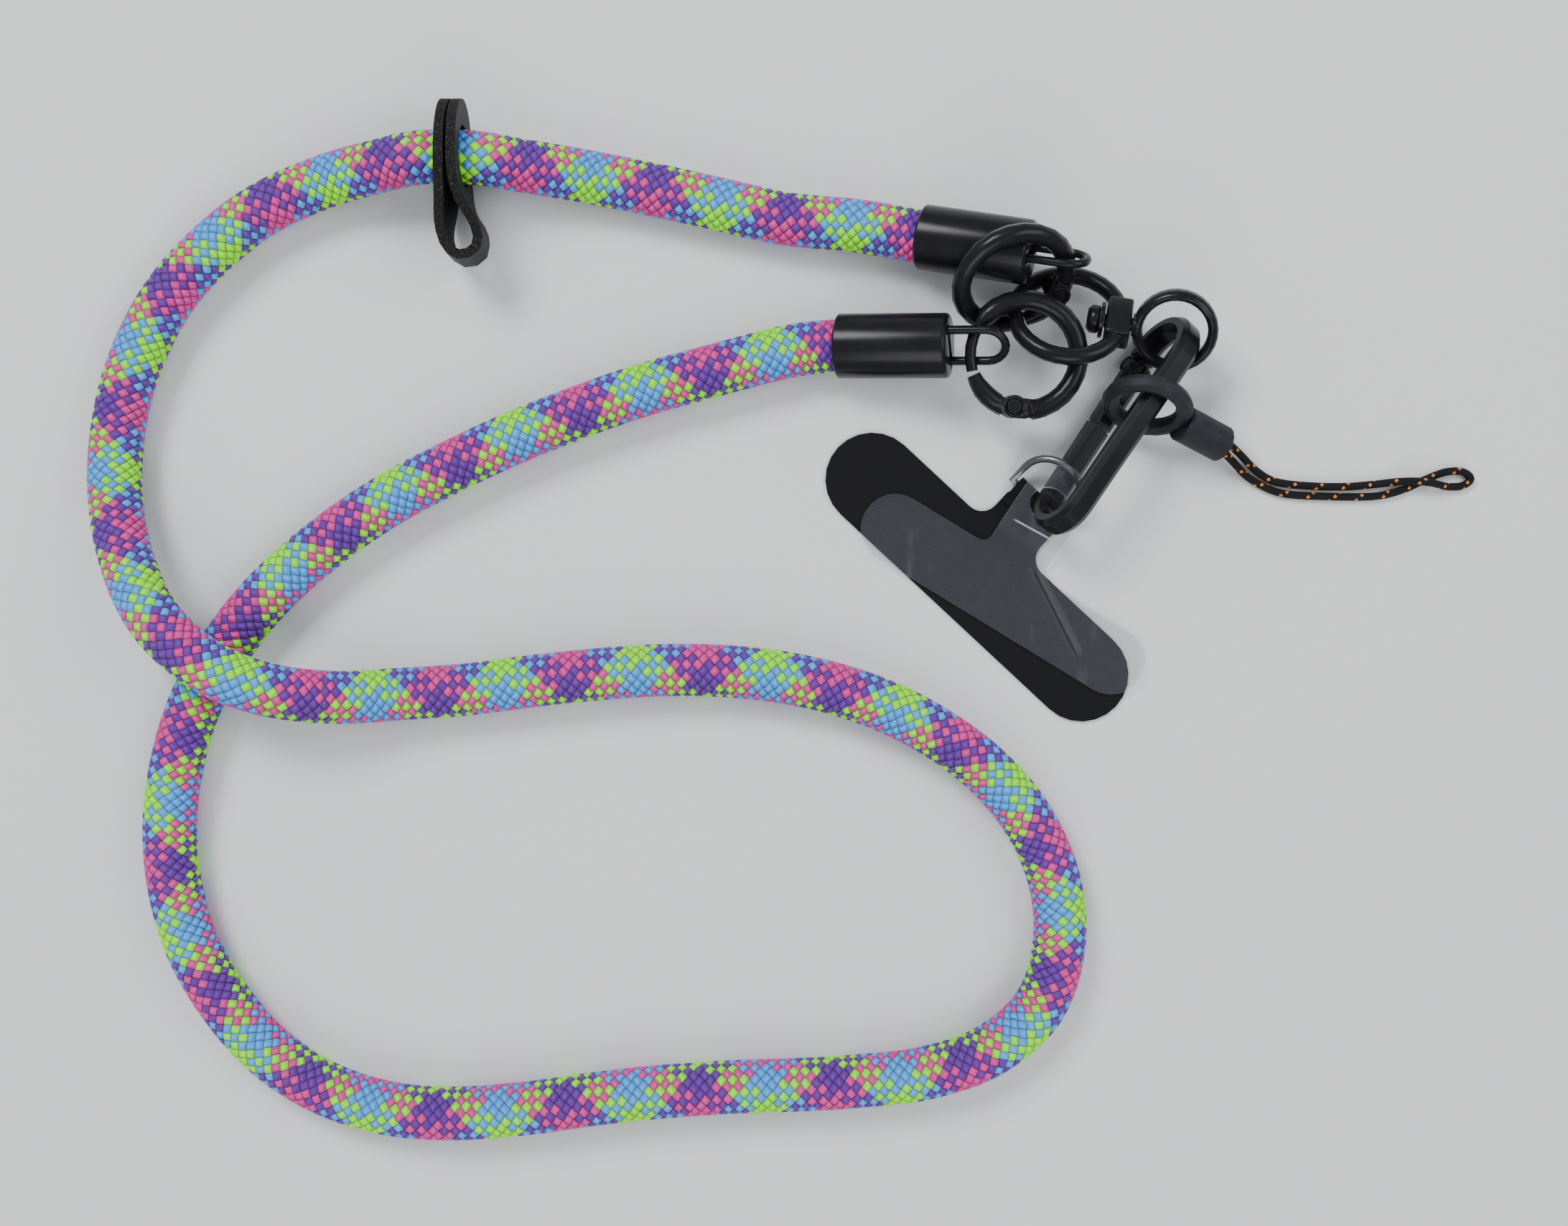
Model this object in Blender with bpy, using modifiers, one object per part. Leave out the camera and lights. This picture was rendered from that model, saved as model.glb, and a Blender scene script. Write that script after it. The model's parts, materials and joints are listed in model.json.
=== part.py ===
"""Phone crossbody strap, laid out on a table.

A braided rope ends in two metal end caps. Each cap holds a bail, and each bail a spring ring. Both rings
run through the loop of a swivel, whose small ring holds a carabiner. The carabiner carries a rubber lanyard
ring, a black tab on a wire D-ring and a clear tab. A folded leather keeper sits on the rope.

Lengths are in metres, +Z is up and the strap lies on the plane Z = 0. Every position is measured from the
middle of the layout, and an empty carries the whole strap from there to its own origin.
"""

import math

import bmesh
import bpy
import numpy as np
from mathutils import Matrix, Vector

# Clearance between pieces that touch on the real strap
CLEARANCE = 0.0003
# Height of the lowest pieces above the table
LIFT = 0.00005
# Place of the strap's origin in the layout, under the middle of the hardware
ORIGIN = (0.04711, 0.02855)

# Rope
ROPE_DIAMETER = 0.0100
ROPE_STEP = 0.0115
ROPE_IN_CAP = 0.0120

# End caps
CAP_DIAMETER = 0.0124
CAP_LENGTH = 0.0217
UPPER_CAP_END = (0.046763, 0.068046, 0.011991)
LOWER_CAP_END = (0.031376, 0.050625, 0.011316)
CAP_WALL = 0.0008
CAP_BORE_DEPTH = 0.0140
CAP_EDGE = 0.0008
CAP_SLOT_DEPTH = 0.0026
CAP_SLOT_HEIGHT = 0.0023

# Bails
BAIL_WIRE = 0.0017
BAIL_REACH = 0.0106

# Spring rings
RING_RADIUS = 0.0104
RING_WIRE = 0.0038
RING_PIN_RADIUS = 0.0008
RING_PIN_INSET = 0.0005
RING_TONGUE = 0.0011

# Swivel
LOOP_RADIUS = 0.0102
LOOP_WIRE = 0.0033
BLOCK_LENGTH = 0.0048
BLOCK_WIDTH = 0.0088
BLOCK_HEIGHT = 0.0050
BLOCK_START = 0.0071
SWIVEL_PIN_RADIUS = 0.0013
SWIVEL_HEAD_RADIUS = 0.0027
SWIVEL_HEAD_LENGTH = 0.0024
SWIVEL_WASHER_RADIUS = 0.0034
SWIVEL_WASHER_LENGTH = 0.0008
SWIVEL_RING_RADIUS = 0.0071
SWIVEL_RING_THICKNESS = 0.0019
SWIVEL_RING_DEPTH = 0.0034

# Carabiner
CARABINER_WIDTH = 0.0031
CARABINER_DEPTH = 0.0050
CARABINER_TOP_RADIUS = 0.0060
CARABINER_TOP_AT = 0.0409
CARABINER_FOOT_RADIUS = 0.0052
CARABINER_FOOT_AT = 0.0066
CARABINER_HINGE_AT = 0.0364
CARABINER_TIP_AT = 0.0234
CARABINER_PIN_RADIUS = 0.0006

# Rubber lanyard ring and its thin cord
LANYARD_RADIUS = 0.0070
LANYARD_WIRE = 0.0034
BARREL_DIAMETER = 0.0072
BARREL_BORE = 0.0040
BARREL_BORE_DEPTH = 0.0050
CORD_DIAMETER = 0.0015
CORD_STEP = 0.0034

# Black tab and its D-ring
BLACK_TAB_THICKNESS = 0.0006
BLACK_TAB_LENGTH = 0.0740
BLACK_TAB_WIDTH = 0.0183
BLACK_STEM_WIDTH = 0.0120
BLACK_STEM_AT = -0.0009
BLACK_STEM_TOP = 0.0164
FOLD_WIDTH = 0.0104
FOLD_AT = -0.0015
FOLD_LAP = 0.0045
D_RING_WIRE = 0.0015
D_RING_HALF_WIDTH = 0.00635
D_RING_LEG = 0.0039
D_RING_AT = 0.01855

# Clear tab
CLEAR_TAB_THICKNESS = 0.0005
CLEAR_TAB_LENGTH = 0.0624
CLEAR_TAB_WIDTH = 0.0133
CLEAR_STEM_WIDTH = 0.0123
CLEAR_STEM_AT = -0.0016
CLEAR_STEM_TOP = 0.0264
CLEAR_STEM_BEND = 0.0108
CLEAR_HOLE_DIAMETER = 0.0074
CLEAR_HOLE_AT = (-0.0019, 0.0190)

# Leather keeper
KEEPER_THICKNESS = 0.0018
KEEPER_WIDTH = 0.0200
KEEPER_HOLE_CLEARANCE = 0.0009

# Route of the rope from the upper cap to the lower cap, in millimetres
ROPE_ROUTE = (
    (13.4, 74.6, 5.1),
    (0.6, 75.8, 5.1),
    (-12.2, 78.6, 5.1),
    (-24.9, 81.4, 5.1),
    (-37.7, 83.9, 5.3),
    (-49.5, 85.4, 7.6),
    (-57.0, 86.3, 9.8),
    (-63.6, 86.6, 10.2),
    (-70.2, 86.4, 9.8),
    (-77.5, 85.4, 7.6),
    (-88.2, 83.0, 5.3),
    (-100.7, 77.4, 5.1),
    (-110.9, 69.3, 5.1),
    (-119.1, 59.7, 5.1),
    (-124.8, 48.3, 5.1),
    (-128.0, 36.0, 5.1),
    (-128.2, 23.1, 6.5),
    (-124.7, 10.3, 10.5),
    (-118.3, -0.8, 14.6),
    (-108.9, -9.3, 15.9),
    (-97.9, -14.2, 14.2),
    (-86.1, -16.0, 9.6),
    (-74.0, -15.6, 6.1),
    (-61.2, -14.7, 5.1),
    (-48.2, -13.1, 5.1),
    (-35.2, -11.7, 5.1),
    (-22.2, -11.0, 5.1),
    (-9.3, -11.3, 5.1),
    (3.6, -13.1, 5.1),
    (16.2, -16.6, 5.1),
    (27.9, -22.2, 5.1),
    (38.5, -29.8, 5.1),
    (46.8, -39.6, 5.1),
    (52.0, -51.4, 5.1),
    (52.9, -64.1, 5.1),
    (49.0, -75.8, 5.1),
    (39.6, -84.2, 5.1),
    (27.2, -88.5, 5.1),
    (14.2, -90.1, 5.1),
    (1.2, -90.8, 5.1),
    (-11.7, -91.3, 5.1),
    (-24.7, -92.2, 5.1),
    (-37.7, -93.7, 5.1),
    (-50.6, -95.4, 5.1),
    (-63.5, -96.3, 5.1),
    (-76.5, -95.2, 5.1),
    (-88.7, -91.2, 5.1),
    (-99.4, -84.1, 5.1),
    (-107.8, -74.5, 5.1),
    (-114.1, -63.3, 5.1),
    (-117.5, -50.8, 5.1),
    (-118.0, -37.7, 5.1),
    (-115.8, -24.9, 5.1),
    (-111.3, -13.2, 5.1),
    (-104.5, -2.5, 5.1),
    (-95.9, 6.9, 5.1),
    (-86.0, 15.1, 5.1),
    (-75.1, 22.3, 5.1),
    (-63.4, 28.4, 5.1),
    (-51.7, 33.8, 5.1),
    (-39.8, 38.5, 5.1),
    (-27.8, 42.7, 5.1),
    (-15.2, 46.2, 5.1),
    (-2.3, 49.6, 5.1),
)

# Route of the thin cord from the barrel out to the loop's tip and back, in millimetres
CORD_ROUTE = (
    (82.2, 34.2, 7.0),
    (84.7, 33.2, 5.4),
    (87.9, 31.0, 3.1),
    (91.9, 27.6, 1.1),
    (95.9, 25.5, 0.9),
    (102.7, 24.7, 0.9),
    (109.6, 24.6, 0.9),
    (115.5, 25.1, 0.9),
    (119.5, 25.5, 1.9),
    (122.6, 25.5, 2.75),
    (125.4, 25.2, 2.75),
    (128.6, 24.6, 1.5),
    (131.8, 24.7, 0.9),
    (133.6, 26.1, 0.9),
    (131.9, 27.5, 0.9),
    (128.6, 27.4, 0.9),
    (124.6, 25.9, 0.9),
    (120.4, 24.0, 0.9),
    (114.7, 22.7, 0.9),
    (104.6, 22.7, 0.9),
    (96.4, 23.4, 0.9),
    (90.5, 26.2, 1.1),
    (86.7, 29.4, 3.1),
    (83.9, 31.6, 5.4),
    (81.6, 32.6, 7.0),
)

# Line of the leather strip seen from above, in millimetres
KEEPER_WAIST = 0.0090
KEEPER_FOLD = 0.0705
KEEPER_SHOULDER = 0.0815
KEEPER_ROUTE = (
    (-63.8, 98.0, 10.0),
    (-64.0, 87.0, 10.0),
    (-64.1, 79.0, 10.0),
    (-64.5, 73.2, 10.0),
    (-63.8, 69.8, 10.0),
    (-61.9, 67.6, 10.0),
    (-59.5, 67.5, 10.0),
    (-57.7, 69.0, 10.0),
    (-57.5, 71.4, 10.0),
    (-58.4, 73.9, 10.0),
    (-59.9, 76.2, 10.0),
    (-60.9, 78.7, 10.0),
    (-61.6, 83.0, 10.0),
    (-61.7, 90.0, 10.0),
    (-61.6, 98.0, 10.0),
)

# Angles
UPPER_CAP_TILT = math.radians(16)
LOWER_CAP_TILT = math.radians(14)
UPPER_BAIL_ROLL = math.radians(60)
LOWER_BAIL_ROLL = math.radians(-42)

MM = 0.001
UP = Vector((0, 0, 1))


def clear_scene():
    """Removes every object, mesh and curve of the startup scene."""
    for obj in list(bpy.data.objects):
        bpy.data.objects.remove(obj, do_unlink=True)
    for old in list(bpy.data.collections):
        bpy.data.collections.remove(old)


def new_collection(name):
    """Makes a collection in the scene."""
    collection = bpy.data.collections.new(name)
    bpy.context.scene.collection.children.link(collection)
    return collection


def material(name, colour, roughness, metallic=0.0, alpha=1.0):
    """A plain Principled material."""
    made = bpy.data.materials.new(name)
    made.use_nodes = True
    shader = made.node_tree.nodes["Principled BSDF"]
    shader.inputs["Base Color"].default_value = (*colour, 1.0)
    shader.inputs["Roughness"].default_value = roughness
    shader.inputs["Metallic"].default_value = metallic
    shader.inputs["Alpha"].default_value = alpha
    made.diffuse_color = (*colour, 1.0)
    return made


def frame(origin, x_axis, z_axis):
    """A matrix that places a shape: its X axis along x_axis and its Z axis as near to z_axis as that allows."""
    x = Vector(x_axis).normalized()
    y = Vector(z_axis).cross(x).normalized()
    z = x.cross(y)
    turn = Matrix((x, y, z)).transposed().to_4x4()
    return Matrix.Translation(Vector(origin)) @ turn


def plane_frame(origin, slope_x, slope_y):
    """A frame whose XY plane rises by slope_x along X and slope_y along Y."""
    normal = Vector((-slope_x, -slope_y, 1)).normalized()
    return frame(origin, Vector((0, 1, 0)).cross(normal), normal)


def smooth_line(route, step):
    """Points at about equal steps on a smooth curve through the route's points."""
    points = [Vector(p) for p in route]
    ends = [2 * points[0] - points[1]] + points + [2 * points[-1] - points[-2]]
    fine = []
    for before, a, b, after in zip(ends, ends[1:], ends[2:], ends[3:]):
        for k in range(16):
            t = k / 16
            pull = -before + 3 * a - 3 * b + after
            bend = 2 * before - 5 * a + 4 * b - after
            fine.append(0.5 * (2 * a + (b - before) * t + bend * t**2 + pull * t**3))
    fine.append(points[-1])
    line = np.array([tuple(p) for p in fine])
    along = np.concatenate([[0], np.cumsum(np.linalg.norm(np.diff(line, axis=0), axis=1))])
    count = max(2, round(along[-1] / step))
    even = np.linspace(0, along[-1], count + 1)
    return [Vector([np.interp(s, along, line[:, k]) for k in range(3)]) for s in even]


def arc(centre, radius, start, end, steps):
    """Points of an arc in the XY plane, from one angle in degrees to another."""
    angles = [math.radians(start + (end - start) * k / steps) for k in range(steps + 1)]
    return [Vector(centre) + radius * Vector((math.cos(a), math.sin(a), 0)) for a in angles]


def place(obj, where, finish, collection):
    """Links an object, places it and gives it its finish. A curve or a turned shape becomes a mesh."""
    obj.matrix_world = where
    collection.objects.link(obj)
    if obj.type == "CURVE" or obj.modifiers:
        obj = as_mesh(obj)
    obj.data.materials.clear()
    obj.data.materials.append(finish)
    return obj


def wire(name, points, radius, sides=8, cyclic=False, taper=None):
    """A round wire along points. taper holds each point's share of the radius."""
    curve = bpy.data.curves.new(name, "CURVE")
    curve.dimensions = "3D"
    curve.bevel_depth = radius
    curve.bevel_resolution = sides // 2 - 2
    curve.use_fill_caps = not cyclic
    spline = curve.splines.new("POLY")
    spline.points.add(len(points) - 1)
    for k, point in enumerate(points):
        spline.points[k].co = (*point, 1)
        spline.points[k].radius = taper[k] if taper else 1
    spline.use_cyclic_u = cyclic
    return bpy.data.objects.new(name, curve)


def slab(name, outline, height, holes=()):
    """A flat plate of an outline in the XY plane, its middle at Z = 0."""
    curve = bpy.data.curves.new(name, "CURVE")
    curve.dimensions = "2D"
    curve.fill_mode = "BOTH"
    curve.extrude = height / 2
    for loop in (outline, *holes):
        spline = curve.splines.new("POLY")
        spline.points.add(len(loop) - 1)
        for k, point in enumerate(loop):
            spline.points[k].co = (point[0], point[1], 0, 1)
        spline.use_cyclic_u = True
    return bpy.data.objects.new(name, curve)


def as_mesh(obj):
    """The same shape as a closed mesh. The curve is removed."""
    collection = obj.users_collection[0]
    bpy.context.view_layer.update()
    seen = obj.evaluated_get(bpy.context.evaluated_depsgraph_get())
    mesh = bpy.data.meshes.new_from_object(seen)
    shape = bmesh.new()
    shape.from_mesh(mesh)
    bmesh.ops.remove_doubles(shape, verts=shape.verts, dist=1e-7)
    if all(edge.is_manifold for edge in shape.edges):
        bmesh.ops.recalc_face_normals(shape, faces=shape.faces)
    shape.to_mesh(mesh)
    shape.free()
    name = obj.name
    where = obj.matrix_world.copy()
    bpy.data.objects.remove(obj, do_unlink=True)
    made = bpy.data.objects.new(name, mesh)
    made.matrix_world = where
    collection.objects.link(made)
    return made


def cylinder(name, radius, length, segments=16):
    """A cylinder along Z with its middle at the origin."""
    shape = bmesh.new()
    bmesh.ops.create_cone(
        shape, cap_ends=True, segments=segments, radius1=radius, radius2=radius, depth=length
    )
    mesh = bpy.data.meshes.new(name)
    shape.to_mesh(mesh)
    shape.free()
    return bpy.data.objects.new(name, mesh)


def box(name, size, centre=(0, 0, 0)):
    """A box of a size about a centre."""
    shape = bmesh.new()
    bmesh.ops.create_cube(shape, size=1, matrix=Matrix.Translation(centre) @ Matrix.Diagonal((*size, 1)))
    mesh = bpy.data.meshes.new(name)
    shape.to_mesh(mesh)
    shape.free()
    return bpy.data.objects.new(name, mesh)


def bar_section(half, deep, flat_across, flat_deep):
    """An eight-sided section: half wide and deep each way, with the flats' half lengths."""
    return [(half, -flat_deep), (half, flat_deep), (flat_across, deep), (-flat_across, deep),
            (-half, flat_deep), (-half, -flat_deep), (-flat_across, -deep), (flat_across, -deep)]


def flat_bar(name, path, section, closed=False):
    """A bar along a path in the XY plane. The section is pairs of place across the path and height."""
    shape = bmesh.new()
    line = [Vector((p[0], p[1], 0)) for p in path]
    rings = []
    for k, point in enumerate(line):
        after, before = (k + 1) % len(line), k - 1
        if not closed:
            after, before = min(k + 1, len(line) - 1), max(k - 1, 0)
        ahead = (line[after] - line[before]).normalized()
        across = Vector((-ahead.y, ahead.x, 0))
        rings.append([shape.verts.new(point + across * a + UP * h) for a, h in section])
    pairs = list(zip(rings, rings[1:])) + ([(rings[-1], rings[0])] if closed else [])
    for one, two in pairs:
        for k in range(len(section)):
            n = (k + 1) % len(section)
            shape.faces.new((one[k], one[n], two[n], two[k]))
    if not closed:
        shape.faces.new(rings[0])
        shape.faces.new(rings[-1])
    bmesh.ops.recalc_face_normals(shape, faces=shape.faces)
    mesh = bpy.data.meshes.new(name)
    shape.to_mesh(mesh)
    shape.free()
    return bpy.data.objects.new(name, mesh)


def turned(name, profile, segments=24):
    """A shape turned about X. The profile is pairs of place along X and radius, from high X to low."""
    mesh = bpy.data.meshes.new(name)
    shape = bmesh.new()
    last = None
    for along, radius in profile:
        vert = shape.verts.new((along, radius, 0))
        if last:
            shape.edges.new((last, vert))
        last = vert
    shape.to_mesh(mesh)
    shape.free()
    obj = bpy.data.objects.new(name, mesh)
    screw = obj.modifiers.new("Turn", "SCREW")
    screw.axis = "X"
    screw.steps = segments
    screw.render_steps = segments
    screw.use_merge_vertices = True
    screw.merge_threshold = 0.00001
    screw.use_normal_calculate = True
    return obj


def stadium(a, b, radius, steps=7):
    """Outline round two points, at a radius from the line between them."""
    heading = math.degrees(math.atan2(b[1] - a[1], b[0] - a[0]))
    one = arc((a[0], a[1], 0), radius, heading + 90, heading + 270, steps)
    two = arc((b[0], b[1], 0), radius, heading - 90, heading + 90, steps)
    return one + two


def circle(centre, radius, steps=24):
    """Outline of a circle."""
    return arc((centre[0], centre[1], 0), radius, 0, 360 - 360 / steps, steps - 1)


def tab_outline(length, width, stem_at, stem_width, stem_top, fillet):
    """Outline of a tab: a bar with round ends along X and a stem along Y with filleted corners."""
    half, end = width / 2, length / 2 - width / 2
    right = arc((end, 0, 0), half, -90, 90, 12)
    left = arc((-end, 0, 0), half, 90, 270, 12)
    side = stem_width / 2 + fillet
    up = arc((stem_at + side, half + fillet, 0), fillet, 270, 180, 5)
    down = arc((stem_at - side, half + fillet, 0), fillet, 0, -90, 5)
    top = [(stem_at + stem_width / 2, stem_top), (stem_at - stem_width / 2, stem_top)]
    return [(p[0], p[1]) for p in right + up] + top + [(p[0], p[1]) for p in down + left]


def combine(obj, other, operation):
    """Adds a Boolean with a helper object."""
    other.hide_render = True
    other.display_type = "WIRE"
    step = obj.modifiers.new(operation.title(), "BOOLEAN")
    step.operation = operation
    step.object = other
    step.solver = "EXACT"
    return obj


class Strap:
    """Builds the strap's pieces into one collection."""

    def __init__(self):
        clear_scene()
        self.parts = new_collection("phone_crossbody_strap")
        self.cutters = new_collection("cutters")
        self.metal = material("black_metal", (0.012, 0.012, 0.013), 0.32, 0.9)
        self.rope_finish = material("braided_rope", (0.42, 0.36, 0.55), 0.85)
        self.rubber = material("rubber", (0.020, 0.022, 0.026), 0.62)
        self.cord_finish = material("thin_cord", (0.018, 0.016, 0.015), 0.9)
        self.black_sheet = material("black_sheet", (0.010, 0.010, 0.012), 0.45)
        self.clear_sheet = material("clear_sheet", (0.62, 0.65, 0.70), 0.12, 0.0, 0.35)
        self.gunmetal = material("gunmetal_wire", (0.20, 0.19, 0.18), 0.30, 1.0)
        self.leather = material("leather", (0.040, 0.038, 0.038), 0.70)
        self.home = Matrix.Translation((-ORIGIN[0], -ORIGIN[1], 0))

    def part(self, obj, where, finish):
        """Places a finished piece."""
        return place(obj, self.home @ where, finish, self.parts)

    def helper(self, obj, where):
        """Places a cutter or a piece to be joined."""
        return place(obj, self.home @ where, self.metal, self.cutters)

    def cut(self, obj, tool, where):
        """Cuts a helper out of a piece."""
        return combine(obj, self.helper(tool, where), "DIFFERENCE")

    def join(self, obj, tool, where):
        """Joins a helper to a piece."""
        return combine(obj, self.helper(tool, where), "UNION")

    def keep(self, obj, tool, where):
        """Keeps only what of a piece lies inside a helper."""
        return combine(obj, self.helper(tool, where), "INTERSECT")

    def end_cap(self, name, where, roll, half_width):
        """A turned barrel with a bore for the rope and a slot for the bail's legs."""
        outer, edge = CAP_DIAMETER / 2, CAP_EDGE
        bore = ROPE_DIAMETER / 2 + CLEARANCE
        round_edge = [(CAP_LENGTH - edge * (1 - math.sin(a)), outer - edge * (1 - math.cos(a)))
                      for a in (math.pi / 2, math.pi / 3, math.pi / 6, 0)]
        profile = [(CAP_LENGTH, 0)] + round_edge + [
            (CAP_WALL / 2, outer),
            (0, outer - CAP_WALL / 2),
            (0, bore),
            (CAP_BORE_DEPTH, bore),
            (CAP_BORE_DEPTH, 0),
        ]
        cap = self.part(turned(name, profile), where, self.metal)
        width = 2 * half_width + BAIL_WIRE + 2 * CLEARANCE
        slot = box(f"{name}_slot", (2 * CAP_SLOT_DEPTH, width, CAP_SLOT_HEIGHT), (CAP_LENGTH, 0, 0))
        return self.cut(cap, slot, where @ Matrix.Rotation(roll, 4, "X"))

    def bail(self, name, where, roll, half_width):
        """A U of wire whose two legs stand in the cap's slot."""
        foot = CAP_LENGTH - CAP_SLOT_DEPTH + CLEARANCE
        turn = CAP_LENGTH + BAIL_REACH - half_width
        points = [Vector((foot, -half_width, 0))]
        points += [Vector((turn, 0, 0)) + p for p in arc((0, 0, 0), half_width, -90, 90, 10)]
        points += [Vector((foot, half_width, 0))]
        return self.part(wire(name, points, BAIL_WIRE / 2), where @ Matrix.Rotation(roll, 4, "X"), self.metal)

    def hinge(self, name, body, gate, where, pin_at, seat, reach, size):
        """Hinges a gate on a body about Z: a tongue on the body, a slotted boss on the gate, and a pin.

        seat is a point inside the body that the tongue starts from, reach a point of the body past which the
        gate's slot must reach. size holds the boss radius, the depth along the pin, the pin radius and the
        tongue's thickness.
        """
        boss, depth, pin_radius, tongue = size
        there = where @ Matrix.Translation(pin_at)
        upright = there @ Matrix.Rotation(math.pi / 2, 4, "Y")
        half, head, head_depth = depth / 2, pin_radius + 0.0006, 0.0004
        bore, recess, floor = pin_radius + CLEARANCE, head + CLEARANCE, half - head_depth - CLEARANCE
        self.join(body, slab(f"{name}_tongue", stadium(pin_at, seat, boss - 0.0004), tongue), where)
        self.cut(body, cylinder(f"{name}_tongue_bore", bore, 2 * depth), there)
        self.join(gate, cylinder(f"{name}_boss", boss, depth, 20), there)
        slot = slab(f"{name}_slot", stadium(pin_at, reach, boss + 0.0008), tongue + 2 * CLEARANCE)
        self.cut(gate, slot, where)
        past = half + 0.001
        stepped = [(past, 0), (past, recess), (floor, recess), (floor, bore),
                   (-floor, bore), (-floor, recess), (-past, recess), (-past, 0)]
        self.cut(gate, turned(f"{name}_gate_bore", stepped, 18), upright)
        shank = half - head_depth
        profile = [(half, 0), (half, head), (shank, head), (shank, pin_radius),
                   (-shank, pin_radius), (-shank, head), (-half, head), (-half, 0)]
        return self.part(turned(f"{name}_pin", profile, 16), upright, self.metal)

    def spring_ring(self, name, where, hinge, tip, way, thin_from, thin):
        """A spring ring in its own XY plane: body, gate and hinge pin.

        hinge is the pin's angle and tip the gate's far end, both in degrees. way is 1 where the gate runs
        counterclockwise from the hinge, and -1 where it runs clockwise. The body's nose thins to the share
        thin of its wire over the twelve degrees before thin_from.
        """
        tail = 19 * way
        gap = math.degrees(2.3 * CLEARANCE / RING_RADIUS) * way
        seam = hinge - tail
        nose = tip + gap - 360 * way
        turn_in = thin_from - 12 * -way
        angles = list(np.linspace(seam, turn_in, 18)) + list(np.linspace(thin_from, nose, 5))
        taper = [1.0] * 18 + [thin] * 5
        line = [RING_RADIUS * Vector((math.cos(math.radians(a)), math.sin(math.radians(a)), 0)) for a in angles]
        body = self.part(wire(f"{name}_body", line, RING_WIRE / 2, 8, False, taper), where, self.metal)
        steps = max(6, round(abs(tip - seam) / 10))
        taper = [1 - 0.30 * max(0, (k / steps - 0.7) / 0.3) for k in range(steps + 1)]
        line = arc((0, 0, 0), RING_RADIUS, seam + gap, tip, steps)
        gate = self.part(wire(f"{name}_gate", line, RING_WIRE / 2, 8, False, taper), where, self.metal)

        def spot(angle, radius):
            return radius * Vector((math.cos(math.radians(angle)), math.sin(math.radians(angle)), 0))

        pin_at = spot(hinge, RING_RADIUS - RING_PIN_INSET)
        size = (RING_WIRE / 2 + 0.0003, RING_WIRE + 0.0002, RING_PIN_RADIUS, RING_TONGUE)
        pin = self.hinge(name, body, gate, where, pin_at, spot(seam - tail / 3, RING_RADIUS),
                         spot(seam - tail, RING_RADIUS), size)
        return body, gate, pin

    def swivel(self, where, ring_roll):
        """The swivel: a wire loop with a bored block, and a small ring on a headed pin that turns in it."""
        edge = math.degrees(math.asin((BLOCK_WIDTH / 2 - 0.0006) / LOOP_RADIUS))
        line = arc((0, 0, 0), LOOP_RADIUS, edge, 360 - edge, 26)
        loop = self.part(wire("swivel_loop", line, LOOP_WIRE / 2), where, self.metal)
        middle = (BLOCK_START + BLOCK_LENGTH / 2, 0, 0)
        block = box("swivel_block", (BLOCK_LENGTH, BLOCK_WIDTH, BLOCK_HEIGHT), middle)
        bevel = block.modifiers.new("Edges", "BEVEL")
        bevel.width = 0.0005
        bevel.segments = 2
        self.join(loop, block, where)
        along = where @ Matrix.Rotation(math.pi / 2, 4, "Y")
        self.cut(loop, cylinder("swivel_bore", SWIVEL_PIN_RADIUS + CLEARANCE, 0.04), along)

        washer = BLOCK_START - CLEARANCE
        head = washer - SWIVEL_WASHER_LENGTH
        tip = head - SWIVEL_HEAD_LENGTH
        collar = BLOCK_START + BLOCK_LENGTH + CLEARANCE
        ring_at = collar + SWIVEL_RING_THICKNESS / 2 + SWIVEL_RING_RADIUS
        inner = ring_at - SWIVEL_RING_RADIUS
        round_edge = SWIVEL_HEAD_LENGTH / 3
        profile = [
            (inner + 0.0004, 0),
            (inner + 0.0004, 0.0014),
            (inner - 0.0008, 0.0022),
            (collar, 0.0022),
            (collar, SWIVEL_PIN_RADIUS),
            (washer, SWIVEL_PIN_RADIUS),
            (washer, SWIVEL_WASHER_RADIUS),
            (head, SWIVEL_WASHER_RADIUS),
            (head, SWIVEL_HEAD_RADIUS - 0.0004),
            (head - round_edge / 2, SWIVEL_HEAD_RADIUS),
            (tip + round_edge, SWIVEL_HEAD_RADIUS),
            (tip, SWIVEL_HEAD_RADIUS - round_edge),
            (tip, 0),
        ]
        rolled = where @ Matrix.Rotation(ring_roll, 4, "X")
        pin = self.part(turned("swivel_ring", profile, 16), rolled, self.metal)
        line = arc((ring_at, 0, 0), SWIVEL_RING_RADIUS, 0, 348, 29)
        thin, deep = SWIVEL_RING_THICKNESS / 2, SWIVEL_RING_DEPTH / 2
        section = bar_section(thin, deep, thin * 0.35, deep * 0.5)
        self.join(pin, flat_bar("swivel_ring_loop", line, section, True), rolled)
        return loop, pin

    def carabiner(self, where):
        """A pear-shaped carabiner in its own XY plane, its foot at the origin and its gate on the -Y bar."""
        top, foot = CARABINER_TOP_RADIUS, CARABINER_FOOT_RADIUS
        lean = math.degrees(math.asin((top - foot) / (CARABINER_TOP_AT - CARABINER_FOOT_AT)))
        bend = arc((CARABINER_TOP_AT, 0, 0), top, -90 - lean, 90 + lean, 16)
        base = arc((CARABINER_FOOT_AT, 0, 0), foot, 90 + lean, 270 - lean, 12)
        upper, lower = bend[0], base[-1]

        def left(at):
            share = (at - lower.x) / (upper.x - lower.x)
            return lower.lerp(upper, share)

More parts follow.
